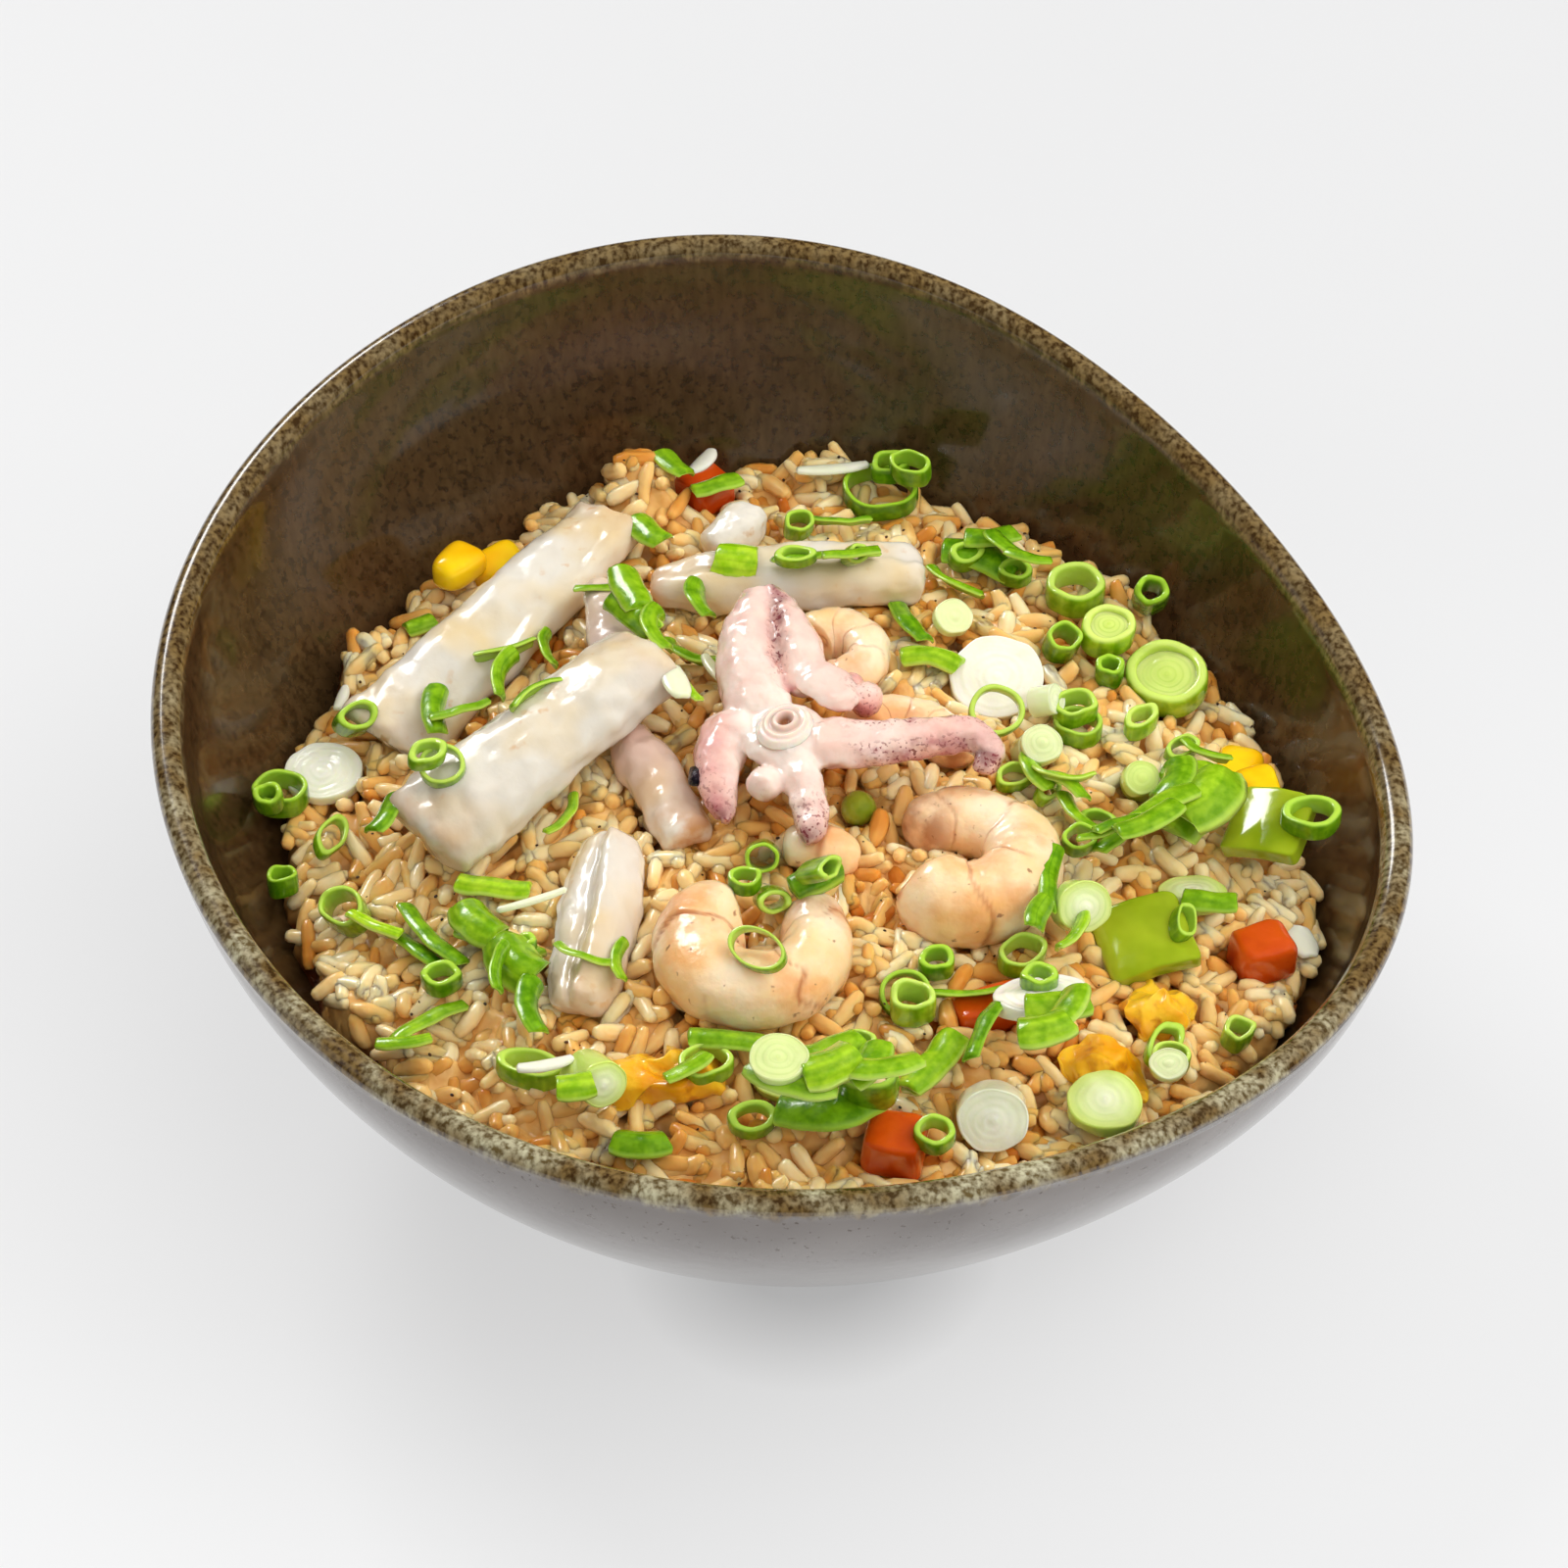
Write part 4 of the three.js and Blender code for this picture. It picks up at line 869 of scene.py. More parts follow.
arm_skin = Finish("tentacle_skin")
skin_base = arm_skin.blend(arm_skin.mottled(120, 0.35, 0.65), rgb(242, 226, 212), rgb(238, 204, 188))
skin_pink = arm_skin.blend(arm_skin.mottled(200, 0.35, 0.65, 4.0), rgb(242, 190, 172), rgb(206, 128, 126))
skin_colour = arm_skin.blend(arm_skin.on_points("pink"), skin_base, skin_pink)
skin_freckles = arm_skin.times(arm_skin.on_points("freckle"), arm_skin.mottled(1500, 0.57, 0.63, 1.0))
skin_tips = arm_skin.times(arm_skin.on_points("tip"), arm_skin.mottled(300, 0.34, 0.58, 4.0))
skin_patches = arm_skin.times(arm_skin.on_points("freckle"), arm_skin.mottled(260, 0.50, 0.66, 4.0))
skin_colour = arm_skin.blend(arm_skin.times(skin_patches, 0.75), skin_colour, rgb(160, 76, 84))
skin_colour = arm_skin.blend(arm_skin.times(skin_tips, 0.85), skin_colour, rgb(104, 34, 44))
arm_skin.colour(arm_skin.blend(arm_skin.times(skin_freckles, 0.85), skin_colour, rgb(124, 40, 52)))
arm_skin.surface(0.24, glow=0.5, radius=(1.0, 0.55, 0.45), scale=0.003, coat=0.7, coat_roughness=0.08)
arm_skin.bump(arm_skin.mottled(500, 0.2, 0.8, 3.0), 0.22, 0.0004)
add_piece("tentacle_crown", crown_points, crown_faces, arm_skin, ["tentacles"],
          {"pink": pinkness, "freckle": freckle, "tip": dark_tip})

# The mouth: thin clear rings round an oval opening with the horny beak's socket inside.
MOUTH_STEPS = [
    (0.0, 0.2, 1.0), (0.8, 0.2, 1.0), (1.3, 0.8, 0.6), (1.8, 1.3, 0.2), (2.3, 1.2, 0.25), (2.8, 0.7, 0.45),
    (3.3, 0.7, 0.2), (3.8, 0.85, 0.0), (4.3, 0.4, 0.1), (4.9, 0.2, 0.0), (5.6, -0.8, 0.0),
]


def mouth_points(middle, squeeze, heading, sides=48):
    """A shallow dome of ring ridges: each step is a radius, a height and how brown it is."""
    turn = np.linspace(0, 2 * math.pi, sides, endpoint=False)
    fine = smooth_line(MOUTH_STEPS, np.linspace(0, 1, 60))[1:]
    rings = [np.stack([radius * np.cos(turn), radius * squeeze * np.sin(turn),
                       np.full(sides, height)], axis=1) for radius, height, _ in fine]
    points = np.concatenate(rings + [[[0, 0, -1.2]], [[0, 0, -2.2]]])
    turned = points @ np.array(Matrix.Rotation(math.radians(heading), 3, "Z")).T
    brown = np.append(np.repeat(fine[:, 2], sides), [1, 0])
    return turned + middle, skin_faces(len(fine), sides, len(points) - 2, len(points) - 1), brown


clear_lip = Finish("mouth_rings")
lip_colour = clear_lip.blend(clear_lip.on_points("brown"), rgb(244, 224, 208), rgb(150, 92, 62))
clear_lip.colour(lip_colour)
clear_lip.surface(0.16, glow=0.5, scale=0.002, coat=0.8)
clear_lip.bump(clear_lip.mottled(600, 0.2, 0.8), 0.3, 0.0003)
near_mouth = np.hypot(crown_points[:, 0] - CROWN_X, crown_points[:, 1] - CROWN_Y) < 4.5
mouth_top = float(crown_points[near_mouth, 2].max())
mouth_skin, mouth_faces, mouth_brown = mouth_points((CROWN_X, CROWN_Y - 0.3, mouth_top - 0.2), 0.8, 62)
add_piece("mouth_rings", mouth_skin, mouth_faces, clear_lip, None, {"brown": mouth_brown})
ink = Finish("squid_ink")
ink.colour(ink.blend(ink.mottled(500), rgb(14, 12, 18), rgb(52, 34, 44)))
ink.surface(0.2)
ink.bump(ink.mottled(600, 0.2, 0.8), 0.8, 0.001)
ink_points, ink_faces = ball(0, 0, 0, 1.3, 2.6, 1.0)
ink_points = roughened(ink_points, 0.9, 0.45, 3)
left_arm = np.hypot(crown_points[:, 0] - CROWN_X + 12.4, crown_points[:, 1] - CROWN_Y + 7.5) < 1.2
ink_points = ink_points + (CROWN_X - 14.0, CROWN_Y - 7.0, float(crown_points[left_arm, 2].max()) - 2.6)
add_piece("ink_speck", ink_points, ink_faces, ink, None)

# Shrimps: peeled and curled on their sides, pale orange flesh in overlapping segments,
# with rust-coloured seams and singed spots from the pan.
SHRIMP_ROWS = 120
SHRIMP_SIDES = 40
SHRIMP_SEGMENTS = 4.6


def shrimp_skin(outer, head_half, tail_half, start, sweep, seed):
    """A curled body round the origin, and its seam, back and tail values."""
    even = np.linspace(0, 1, SHRIMP_ROWS + 1)
    place = 0.7 * even + 0.3 * (0.5 - 0.5 * np.cos(math.pi * even))
    half = head_half + (tail_half - head_half) * place ** 1.4
    angle = np.radians(start + sweep * place)
    radius = outer - half
    run = np.abs(np.radians(sweep)) * radius.mean() * place
    from_end = np.minimum(run, run[-1] - run)
    cap = 0.5 * head_half
    close = cap - np.sqrt(np.maximum(0, cap ** 2 - np.maximum(0, cap - from_end) ** 2))
    turn = np.linspace(0, 2 * math.pi, SHRIMP_SIDES, endpoint=False)
    points, seams, backs = [], [], []
    for k in range(len(place)):
        wander = np.array([noise.noise((math.cos(t) * 1.3, math.sin(t) * 1.3, place[k] * 3 + seed))
                           for t in turn])
        segment = (place[k] * SHRIMP_SEGMENTS + 0.22 * wander) % 1
        seam = np.exp(-(np.minimum(segment, 1 - segment) / 0.035) ** 2)
        plate = 1 + 0.035 * (segment - 0.5) - 0.015 * seam
        girth = (half[k] - close[k]) * plate
        inward = np.where(np.cos(turn) < 0, 0.96, 1.0)
        away = radius[k] + girth * np.cos(turn) * inward
        points.append(np.stack([away * math.cos(angle[k]), away * math.sin(angle[k]),
                                0.95 * girth * np.sin(turn)], axis=1))
        seams.append(seam)
        backs.append(np.cos(turn))
    ends = [[radius[k] * math.cos(angle[k]), radius[k] * math.sin(angle[k]), 0] for k in (0, -1)]
    values = {
        "seam": np.append(np.concatenate(seams), [0, 0]),
        "back": np.append(np.concatenate(backs), [0, 0]),
        "tail": np.append(np.repeat(place, SHRIMP_SIDES), [0, 1]),
    }
    points = np.concatenate(points + [ends])
    return points, skin_faces(SHRIMP_ROWS + 1, SHRIMP_SIDES, len(points) - 2, len(points) - 1), values


shrimp = Finish("shrimp_flesh")
shrimp_base = shrimp.blend(shrimp.mottled(80, 0.36, 0.64), rgb(250, 224, 188), rgb(248, 200, 138))
shrimp_stain = shrimp.blend(shrimp.times(shrimp.mottled(110, 0.50, 0.68, 4.0), 0.55),
                            shrimp_base, rgb(226, 138, 44))
seam_mask = shrimp.times(shrimp.on_points("seam"), shrimp.mottled(110, 0.36, 0.58, 3.0))
shrimp_seamed = shrimp.blend(shrimp.times(seam_mask, 0.8), shrimp_stain, rgb(170, 92, 44))
tail_mask = shrimp.times(shrimp.remap(shrimp.on_points("tail"), 0.82, 1.0),
                         shrimp.mottled(200, 0.36, 0.6, 4.0))
shrimp_tailed = shrimp.blend(shrimp.times(tail_mask, 0.8), shrimp_seamed, rgb(164, 90, 46))
shrimp_specks = shrimp.mottled(620, 0.68, 0.76, 2.0)
shrimp.colour(shrimp.blend(shrimp.times(shrimp_specks, 0.7), shrimp_tailed, rgb(120, 62, 30)))
shrimp.surface(0.28, glow=0.5, radius=(1.0, 0.5, 0.3), scale=0.0035, coat=0.6, coat_roughness=0.1)
shrimp.bump(shrimp.mottled(420, 0.2, 0.8, 3.0), 0.35, 0.0005)

SHRIMPS = {
    "shrimp_front": (-9, -38, (15.8, 7.4, 5.2, 112, 300)),
    "shrimp_right": (25, -17.5, (16, 7.6, 5.4, 215, 285)),
    "shrimp_middle": (15, 8.5, (12.5, 5.5, 4, 150, -160)),
    "shrimp_back": (4, 30.5, (10, 4.8, 3.4, 140, -250)),
}
for number, (name, (x, y, shape)) in enumerate(SHRIMPS.items()):
    points, faces, values = shrimp_skin(*shape, number * 5.0)
    points = roughened(roughened(points, 0.7, 0.14, number * 3), 0.2, 0.6, number)
    points = onto_solid(points + (x, y, 0), name, only_height=True)
    add_piece(name + "_body", points, faces, shrimp, [name], values)
tail_points, tail_faces, tail_values = swept(over_mound([
    [-4, -14.5, 3, 3.6, 3], [1.5, -15.5, 3.4, 4.4, 3.6], [8, -17.5, 3, 3.2, 2.6],
]), round_outline, cap=2.0)
tail_points = onto_solid(roughened(tail_points, 0.5, 0.3, 9), "shrimp_tail", only_height=True)
tail_place = tail_values["gone"] / tail_values["gone"].max()
add_piece("shrimp_tail_piece", tail_points, tail_faces, shrimp, ["shrimp_tail"], {
    "seam": np.exp(-((tail_place - 0.5) / 0.05) ** 2),
    "back": np.zeros(len(tail_points)),
    "tail": tail_place * 0.8,
})

# Vegetables and egg: corn kernels, pepper squares, carrot dice and peas from the same pan,
# and torn sheets of omelette, set and golden with browned spots.


def rounded_block(a, b, c, square, rows=22, sides=36):
    """A closed block with half sizes a, b and c, from a ball (2) towards a sharp dice (8)."""
    def eased(value):
        return np.sign(value) * np.abs(value) ** (2 / square)
    turn = np.linspace(0, 2 * math.pi, sides, endpoint=False)
    polar = np.linspace(-math.pi / 2, math.pi / 2, rows + 2)[1:-1]
    rings = [np.stack([a * eased(math.cos(p)) * eased(np.cos(turn)),
                       b * eased(math.cos(p)) * eased(np.sin(turn)),
                       np.full(sides, c * eased(math.sin(p)))], axis=1) for p in polar]
    points = np.concatenate(rings + [[[0, 0, -c]], [[0, 0, c]]])
    return points, skin_faces(rows, sides, rows * sides, rows * sides + 1)


def turned(points, heading=0.0, tilt=0.0, pitch=0.0):
    """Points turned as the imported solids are: tilt round X, pitch round Y, then heading round Z."""
    turn = (Matrix.Rotation(math.radians(heading), 3, "Z") @ Matrix.Rotation(math.radians(pitch), 3, "Y")
            @ Matrix.Rotation(math.radians(tilt), 3, "X"))
    return points @ np.array(turn).T


def wet_material(name, first, second, scale, spots=None, roughness=0.25, radius=(1, 0.6, 0.3), relief=0.2):
    """A moist food surface: two colours clouded together, spots if given, and a wet film."""
    made = Finish(name)
    colour = made.blend(made.mottled(scale, 0.36, 0.64, 3.0), first, second)
    if spots:
        colour = made.blend(made.mottled(scale * 2.2, 0.58, 0.74, 4.0), colour, spots)
    made.colour(colour)
    made.surface(roughness, glow=0.3, radius=radius, scale=0.002, coat=0.9, coat_roughness=0.08)
    made.bump(made.mottled(scale * 5, 0.2, 0.8, 3.0), relief, 0.0005)
    return made


corn_skin = wet_material("corn_kernel", rgb(255, 210, 20), rgb(248, 180, 4), 110, relief=0.08, roughness=0.16)
pepper_skin = wet_material("green_pepper", rgb(168, 184, 36), rgb(134, 156, 16), 90,
                           relief=0.08, roughness=0.14, radius=(0.5, 1, 0.15))
carrot_flesh = wet_material("carrot", rgb(212, 82, 10), rgb(184, 54, 3), 120, roughness=0.24)
pea_skin = wet_material("pea", rgb(160, 168, 48), rgb(122, 138, 24), 160, radius=(0.6, 1, 0.2))
egg_set = wet_material("set_egg", rgb(250, 194, 40), rgb(236, 156, 10), 130, spots=rgb(190, 100, 10),
                       roughness=0.34, relief=0.25)
PANTRY = {
    "corn": (corn_skin, "corn"), "pepper": (pepper_skin, "green_pepper"), "carrot": (carrot_flesh, "carrot"),
    "pea": (pea_skin, "pea"), "egg": (egg_set, "egg"),
}
DICE = {
    "corn_back_1": ((5.1, 3.7, 3.1, 3.2), dict(heading=30, tilt=20), 0.35),
    "corn_back_2": ((4.8, 3.6, 2.9, 3.2), dict(heading=55), 0.35),
    "corn_right_1": ((4.9, 3.8, 3.1, 3.4), dict(heading=70), 0.35),
    "corn_right_2": ((4.7, 3.4, 2.9, 3.4), dict(heading=110), 0.35),
    "pepper_right": ((6.6, 6.4, 1.7, 10), dict(heading=-25, tilt=14, pitch=-13), 0.3),
    "pepper_front": ((7.6, 7, 1.7, 10), dict(heading=15, tilt=10, pitch=-8), 0.35),
    "carrot_right": ((5, 4.2, 3.8, 5.5), dict(heading=20), 0.5),
    "carrot_front": ((4.8, 4.4, 3.8, 5.5), dict(heading=-15), 0.5),
    "carrot_middle": ((6.5, 3.4, 3, 5.5), dict(heading=20), 0.5),
    "carrot_back": ((4.4, 4, 3.4, 5.5), dict(heading=40), 0.5),
    "pea_middle": ((3, 3, 2.8, 2), dict(heading=0), 0.3),
    "pea_right": ((3.4, 3.2, 3, 2), dict(heading=0), 0.3),
    "egg_front": ((9.5, 4.6, 3, 2.6), dict(heading=8), 3.2),
    "egg_right_1": ((7.5, 4.4, 2.8, 2.6), dict(heading=-35), 3.0),
    "egg_right_2": ((6, 5, 3, 2.6), dict(heading=30), 3.0),
}
for number, (name, (shape, lie, wobble)) in enumerate(DICE.items()):
    finish, slot = PANTRY[name.split("_")[0]]
    is_egg = slot == "egg"
    points, faces = rounded_block(*shape, rows=44 if is_egg else 22, sides=72 if is_egg else 36)
    if slot == "green_pepper":
        points[:, 2] -= 0.03 * points[:, 0] ** 2 - 0.01 * points[:, 1] ** 2
    if slot == "corn":
        points[:, 1] *= 1 + 0.05 * points[:, 0]
    points = roughened(points, wobble, 0.22, number * 7)
    if is_egg:
        points = roughened(points, 0.6, 0.5, number)
    points = onto_solid(turned(points, **lie), name)
    add_piece(name + "_cut", points, faces, finish, [name])

# White of spring onion: thick slices across the bulb and short tubes, in tight pale shells
# that show as rings on the wet cut faces.
SLICE_SIDES = 56
SLICE_EDGE = 0.35


def slice_skin(radius, thickness, squeeze=0.9, seed=0.0):
    """A slice with eased edges and ring ridges; gives how far out each point of a cut face is."""
    turn = np.linspace(0, 2 * math.pi, SLICE_SIDES, endpoint=False)
    half = thickness / 2
    profile = []
    for part in np.linspace(0.03, 0.93, 30):
        ridge = 0.035 * math.sin(part * radius * 4.6) * (1 - part * 0.4)
        profile.append((radius * part, half + ridge - 0.12 + 0.35 * (1 - part) ** 2, part))
    for lean in np.linspace(0, 1, 7)[1:]:
        inward, down = 1 - math.sin(lean * math.pi / 2), 1 - math.cos(lean * math.pi / 2)
        profile.append((radius - SLICE_EDGE * inward, half - SLICE_EDGE * down, 1.0))
    profile = profile + [(r, -z, part) for r, z, part in reversed(profile)]
    rings = [np.stack([r * np.cos(turn), squeeze * r * np.sin(turn), np.full(SLICE_SIDES, z)], axis=1)
             for r, z, _ in profile]
    points = np.concatenate(rings + [[[0, 0, half + 0.2]], [[0, 0, -half - 0.2]]])
    out = np.append(np.repeat([part for _, _, part in profile], SLICE_SIDES), [0, 0])
    count = len(points)
    faces = [tuple(reversed(face)) for face in skin_faces(len(profile), SLICE_SIDES, count - 2, count - 1)]
    return roughened(points, 0.35, 0.3, seed), faces, out


onion_white = Finish("onion_white")
shell = onion_white.on_points("out")
shell_lines = onion_white.maths("SINE", onion_white.times(shell, 27.0))
shell_faint = onion_white.remap(shell_lines, 0.2, 1.0, 0.0, 0.5)
shell_mask = onion_white.times(shell_faint, onion_white.mottled(120, 0.35, 0.7))
green_here = onion_white.on_points("green")
white_flesh = onion_white.blend(green_here, rgb(247, 245, 228), rgb(204, 222, 108))
white_lines = onion_white.blend(green_here, rgb(232, 234, 200), rgb(160, 196, 56))
onion_white.colour(onion_white.blend(shell_mask, white_flesh, white_lines))
onion_white.surface(0.22, glow=0.5, radius=(0.8, 1.0, 0.5), scale=0.003, coat=0.6, coat_roughness=0.1)
onion_white.bump(onion_white.mottled(500, 0.2, 0.8), 0.2, 0.0004)
WHITES = {
    "white_slice_large": ((8, 2.4), dict(tilt=34, heading=10), 0.05),
    "white_slice_left": ((6.6, 2.2), dict(tilt=12), 0.15),
    "white_slice_front_1": ((5.6, 6), dict(tilt=58), 0.15),
    "white_slice_front_2": ((7.6, 2.4), dict(tilt=-22, heading=12), 0.0),
    "white_slice_right_1": ((5.8, 2.2), dict(tilt=-16, heading=-5), 0.75),
    "white_slice_right_2": ((4.6, 4.6), dict(tilt=50, heading=25), 0.7),
    "white_slice_front_3": ((5.8, 3), dict(tilt=14), 0.75),
    "white_slice_front_4": ((4.4, 3.4), dict(tilt=24), 0.8),
    "white_tube_front": ((4, 8), dict(tilt=62, heading=28), 0.75),
    "white_tube_right": ((3.7, 5.4), dict(tilt=40, heading=20), 0.45),
}
for number, (name, (shape, lie, green)) in enumerate(WHITES.items()):
    points, faces, out = slice_skin(*shape, seed=number * 4)
    add_piece(name + "_cut", onto_solid(turned(points, **lie), name), faces, onion_white, [name],
              {"out": out, "green": np.clip(green * (0.3 + out), 0, 1)})

# Green of spring onion: rings cut across the hollow leaf and strips where the leaf split,
# waxy and dark outside, bright and wet on the cut edges and inside.
RING_SIDES = 44
RING_CORNERS = 20
LEAF_SIDES = 32


def ring_skin(radius, wall, height, squeeze=0.9, seed=0.0, wander=0.05):
    """A ring with a rounded wall; gives how much each point is cut face and how far inside."""
    turn = np.linspace(0, 2 * math.pi, RING_SIDES, endpoint=False)
    corner = np.linspace(0, 2 * math.pi, RING_CORNERS, endpoint=False)
    across = np.sign(np.cos(corner)) * np.abs(np.cos(corner)) ** 0.55
    upward = np.sign(np.sin(corner)) * np.abs(np.sin(corner)) ** 0.4
    points, cuts, insides, veins = [], [], [], []
    for angle in turn:
        r = radius - wall / 2 + wall / 2 * across
        wave = 1 + wander * noise.noise((math.cos(angle) * 1.2, math.sin(angle) * 1.2, seed))
        z = height / 2 * upward + 0.18 * height * noise.noise((math.cos(angle), math.sin(angle), seed + 9))
        points.append(np.stack([r * wave * math.cos(angle), squeeze * r * wave * math.sin(angle), z], axis=1))
        cuts.append(np.clip((np.abs(upward) - 0.86) / 0.14, 0, 1))
        insides.append(np.clip(-across, 0, 1))
        vein = 0.5 + noise.noise((math.cos(angle) * 5, math.sin(angle) * 5, seed + 4))
        veins.append(np.full(RING_CORNERS, vein))
    points = np.concatenate(points)
    faces = []
    for side in range(RING_SIDES):
        here, after = side * RING_CORNERS, (side + 1) % RING_SIDES * RING_CORNERS
        for c in range(RING_CORNERS):
            up = (c + 1) % RING_CORNERS
            faces.append((here + c, after + c, after + up, here + up))
    return points, faces, {"cut": np.concatenate(cuts), "hollow": np.concatenate(insides),
                           "vein": np.clip(np.concatenate(veins), 0, 1)}


onion_green = Finish("onion_green")
green_own = onion_green.on_points("own")
veins = onion_green.mottled(520, 0.35, 0.65, 2.0)
leaf_dark = onion_green.blend(veins, rgb(54, 112, 0), rgb(100, 158, 4))
leaf_bright = onion_green.blend(veins, rgb(150, 198, 10), rgb(190, 222, 44))
leaf_skin = onion_green.blend(green_own, leaf_dark, leaf_bright)
leaf_vein = onion_green.remap(onion_green.on_points("vein"), 0.35, 0.75, 0, 0.35)
leaf_skin = onion_green.blend(leaf_vein, leaf_skin, rgb(50, 108, 0))
leaf_inner = onion_green.blend(green_own, rgb(126, 176, 20), rgb(206, 226, 96))
leaf_cut = onion_green.blend(green_own, rgb(160, 204, 40), rgb(216, 232, 120))
leaf_colour = onion_green.blend(onion_green.on_points("hollow"), leaf_skin, leaf_inner)
onion_green.colour(onion_green.blend(onion_green.on_points("cut"), leaf_colour, leaf_cut))
onion_green.surface(0.24, glow=0.25, radius=(0.8, 1.0, 0.1), scale=0.0015, coat=0.6, coat_roughness=0.1)
onion_green.bump(onion_green.mottled(600, 0.2, 0.8), 0.25, 0.0004)
GREEN_RINGS = {
    "green_ring_wide": ((7.2, 2.1, 5.6, 0.9), dict(tilt=16, heading=-12), 0.8),
    "green_ring_beside": ((4.8, 1.7, 5.2, 0.9), dict(tilt=14, heading=14), 0.95),
    "green_ring_back": ((5.2, 1.7, 5.2, 0.9), dict(tilt=8, heading=8), 0.6),
    "green_ring_wall": ((6.8, 1.1, 4, 0.8), dict(tilt=8, heading=-10), 0.05),
    "green_ring_on_slice": ((4.7, 1.0, 2.4, 0.95), dict(tilt=32, heading=10), 0.55),
    "green_ring_on_shrimp": ((5.2, 0.8, 2, 0.62), dict(tilt=26, heading=-36), 0.5),
    "green_ring_on_squid": ((3.8, 0.9, 2.6, 0.95), dict(tilt=24), 0.6),
    "green_ring_middle": ((4.2, 0.9, 2.6, 0.95), dict(tilt=30, heading=10), 0.2),
    "green_ring_right": ((4.2, 1, 3.6, 0.85), dict(tilt=2), 0.4),
}
for number, (name, (shape, lie, own)) in enumerate(GREEN_RINGS.items()):
    points, faces, values = ring_skin(*shape, seed=number * 2.3)
    add_piece(name + "_cut", onto_solid(turned(points, **lie), name), faces, onion_green, [name],
              {"own": np.full(len(points), own), **values})


# The pale heart that fills the two thickest rings: radius, thickness, and how the ring lies.
RING_HEARTS = {
    "green_ring_wide": (5.4, 3.4, dict(tilt=16, heading=-12)),
    "green_ring_beside": (3.5, 4.0, dict(tilt=14, heading=14)),
}
for name, (radius, thickness, lie) in RING_HEARTS.items():
    points, faces, out = slice_skin(radius, thickness, seed=radius)
    add_piece(name + "_heart", onto_solid(turned(points, **lie), name), faces, onion_white,
              None, {"out": out, "green": 1.0 - 0.1 * out})


def leaf_outline(bend):
    """A thin strip's outline, hollowed like the leaf it was cut from."""
    across = np.sign(np.cos(dense_turn)) * np.abs(np.cos(dense_turn)) ** 0.5
    upward = np.sign(np.sin(dense_turn)) * np.abs(np.sin(dense_turn)) ** 0.7

    def outline(place, half):
        height = half[1] * upward + bend * half[0] * (0.4 - across ** 2)
        return evenly(np.stack([half[0] * across, height], axis=1), LEAF_SIDES)
    return outline


def leaf_shape(stops, roll=0.0, bend=0.2, steps=30):
    """One split length of leaf through stops [x, y, z, half width, half thickness]."""
    points, faces, _ = swept(stops, leaf_outline(bend), steps=steps, roll=roll, cap=0.3)
    around = np.linspace(0, 2 * math.pi, LEAF_SIDES, endpoint=False)
    edge = np.append(np.tile(np.clip((np.abs(np.cos(around)) - 0.96) / 0.04, 0, 1), steps + 1), [1, 1])
    under = np.append(np.tile(np.clip(-np.sin(around) * 2, 0, 1), steps + 1), [0, 0])
    vein = np.array([0.5 + noise.noise((math.cos(a) * 5, math.sin(a) * 5, stops[0][3])) for a in around])
    vein = np.append(np.tile(np.clip(vein, 0, 1), steps + 1), [0.5, 0.5])
    return points, faces, {"cut": edge, "hollow": under * 0.8, "vein": vein}


GREEN_LEAVES = {
    "green_leaf_right": ([[58, -6, 4, 5.4, 0.8], [63.5, 2, 6, 6, 0.9], [64, 9, 4.5, 5.6, 0.8]], 14, 0.6),
    "green_strip_right": (
        [[46.5, -14, 4, 1.9, 0.6], [51, -9.5, 5, 2.2, 0.6], [56.5, -4, 4.6, 1.9, 0.6]],
        30, 0.2,
    ),
    "green_leaf_front": (
        [[-4.5, -69, 3, 4.4, 0.8], [3, -70.5, 4.6, 5, 0.9], [10, -66.5, 3.6, 4, 0.8]],
        20, 0.2,
    ),
    "green_strip_front": (
        [[15.5, -64, 4, 2, 0.8], [19, -59, 5, 2.4, 0.8], [22.5, -53.5, 4.4, 2, 0.8]],
        30, 0.5,
    ),
    "green_leaf_back": ([[23, 61, 2.6, 4.2, 0.7], [30, 60, 3.6, 5, 0.8], [36, 56, 3, 3.6, 0.7]], 24, 0.15),
    "green_strip_on_squid": (
        [[-33, 34, 11, 2.4, 0.6], [-29.5, 29, 12, 2.6, 0.6], [-25.5, 24, 11, 2.2, 0.6]],
        -26, 0.4,
    ),
    "green_strip_on_back": (
        [[-6.5, 45, 11, 1.7, 0.5], [3, 46, 11.6, 2, 0.5], [12, 48.5, 10.6, 1.5, 0.5]],
        40, 0.3,
    ),
    "green_strip_left_1": (
        [[-55.5, -28, 3, 2.8, 0.8], [-49, -32, 3.6, 3.2, 0.8], [-43, -36, 3, 2.8, 0.8]],
        24, 0.35,
    ),
    "green_strip_left_2": (
        [[-67, -26, 2.6, 1.6, 0.6], [-62.5, -31, 3, 1.9, 0.6], [-57.5, -36, 2.4, 1.5, 0.6]],
        30, 0.1,
    ),
    "green_tube_front": (
        [[-2.6, -30, 9, 2.2, 1.8], [1.2, -28, 10, 2.4, 2], [4.4, -25.5, 9.6, 2.2, 1.8]],
        0, 0.15,
    ),
}
for name, (stops, roll, own) in GREEN_LEAVES.items():
    points, faces, values = leaf_shape(over_mound(stops), roll, 0.1 + 0.09 * stops[1][3])
    points = onto_solid(roughened(points, 0.3, 0.3, stops[0][0]), name)
    add_piece(name + "_cut", points, faces, onion_green, [name],
              {"own": np.full(len(points), own), **values})

# Loose scraps of spring onion: small rings, half tubes and curled shreds strewn over the heap,
# each lying where the line of sight through its place in the picture first meets the food.
heap_top = np.maximum(rice_top, topping_tops)


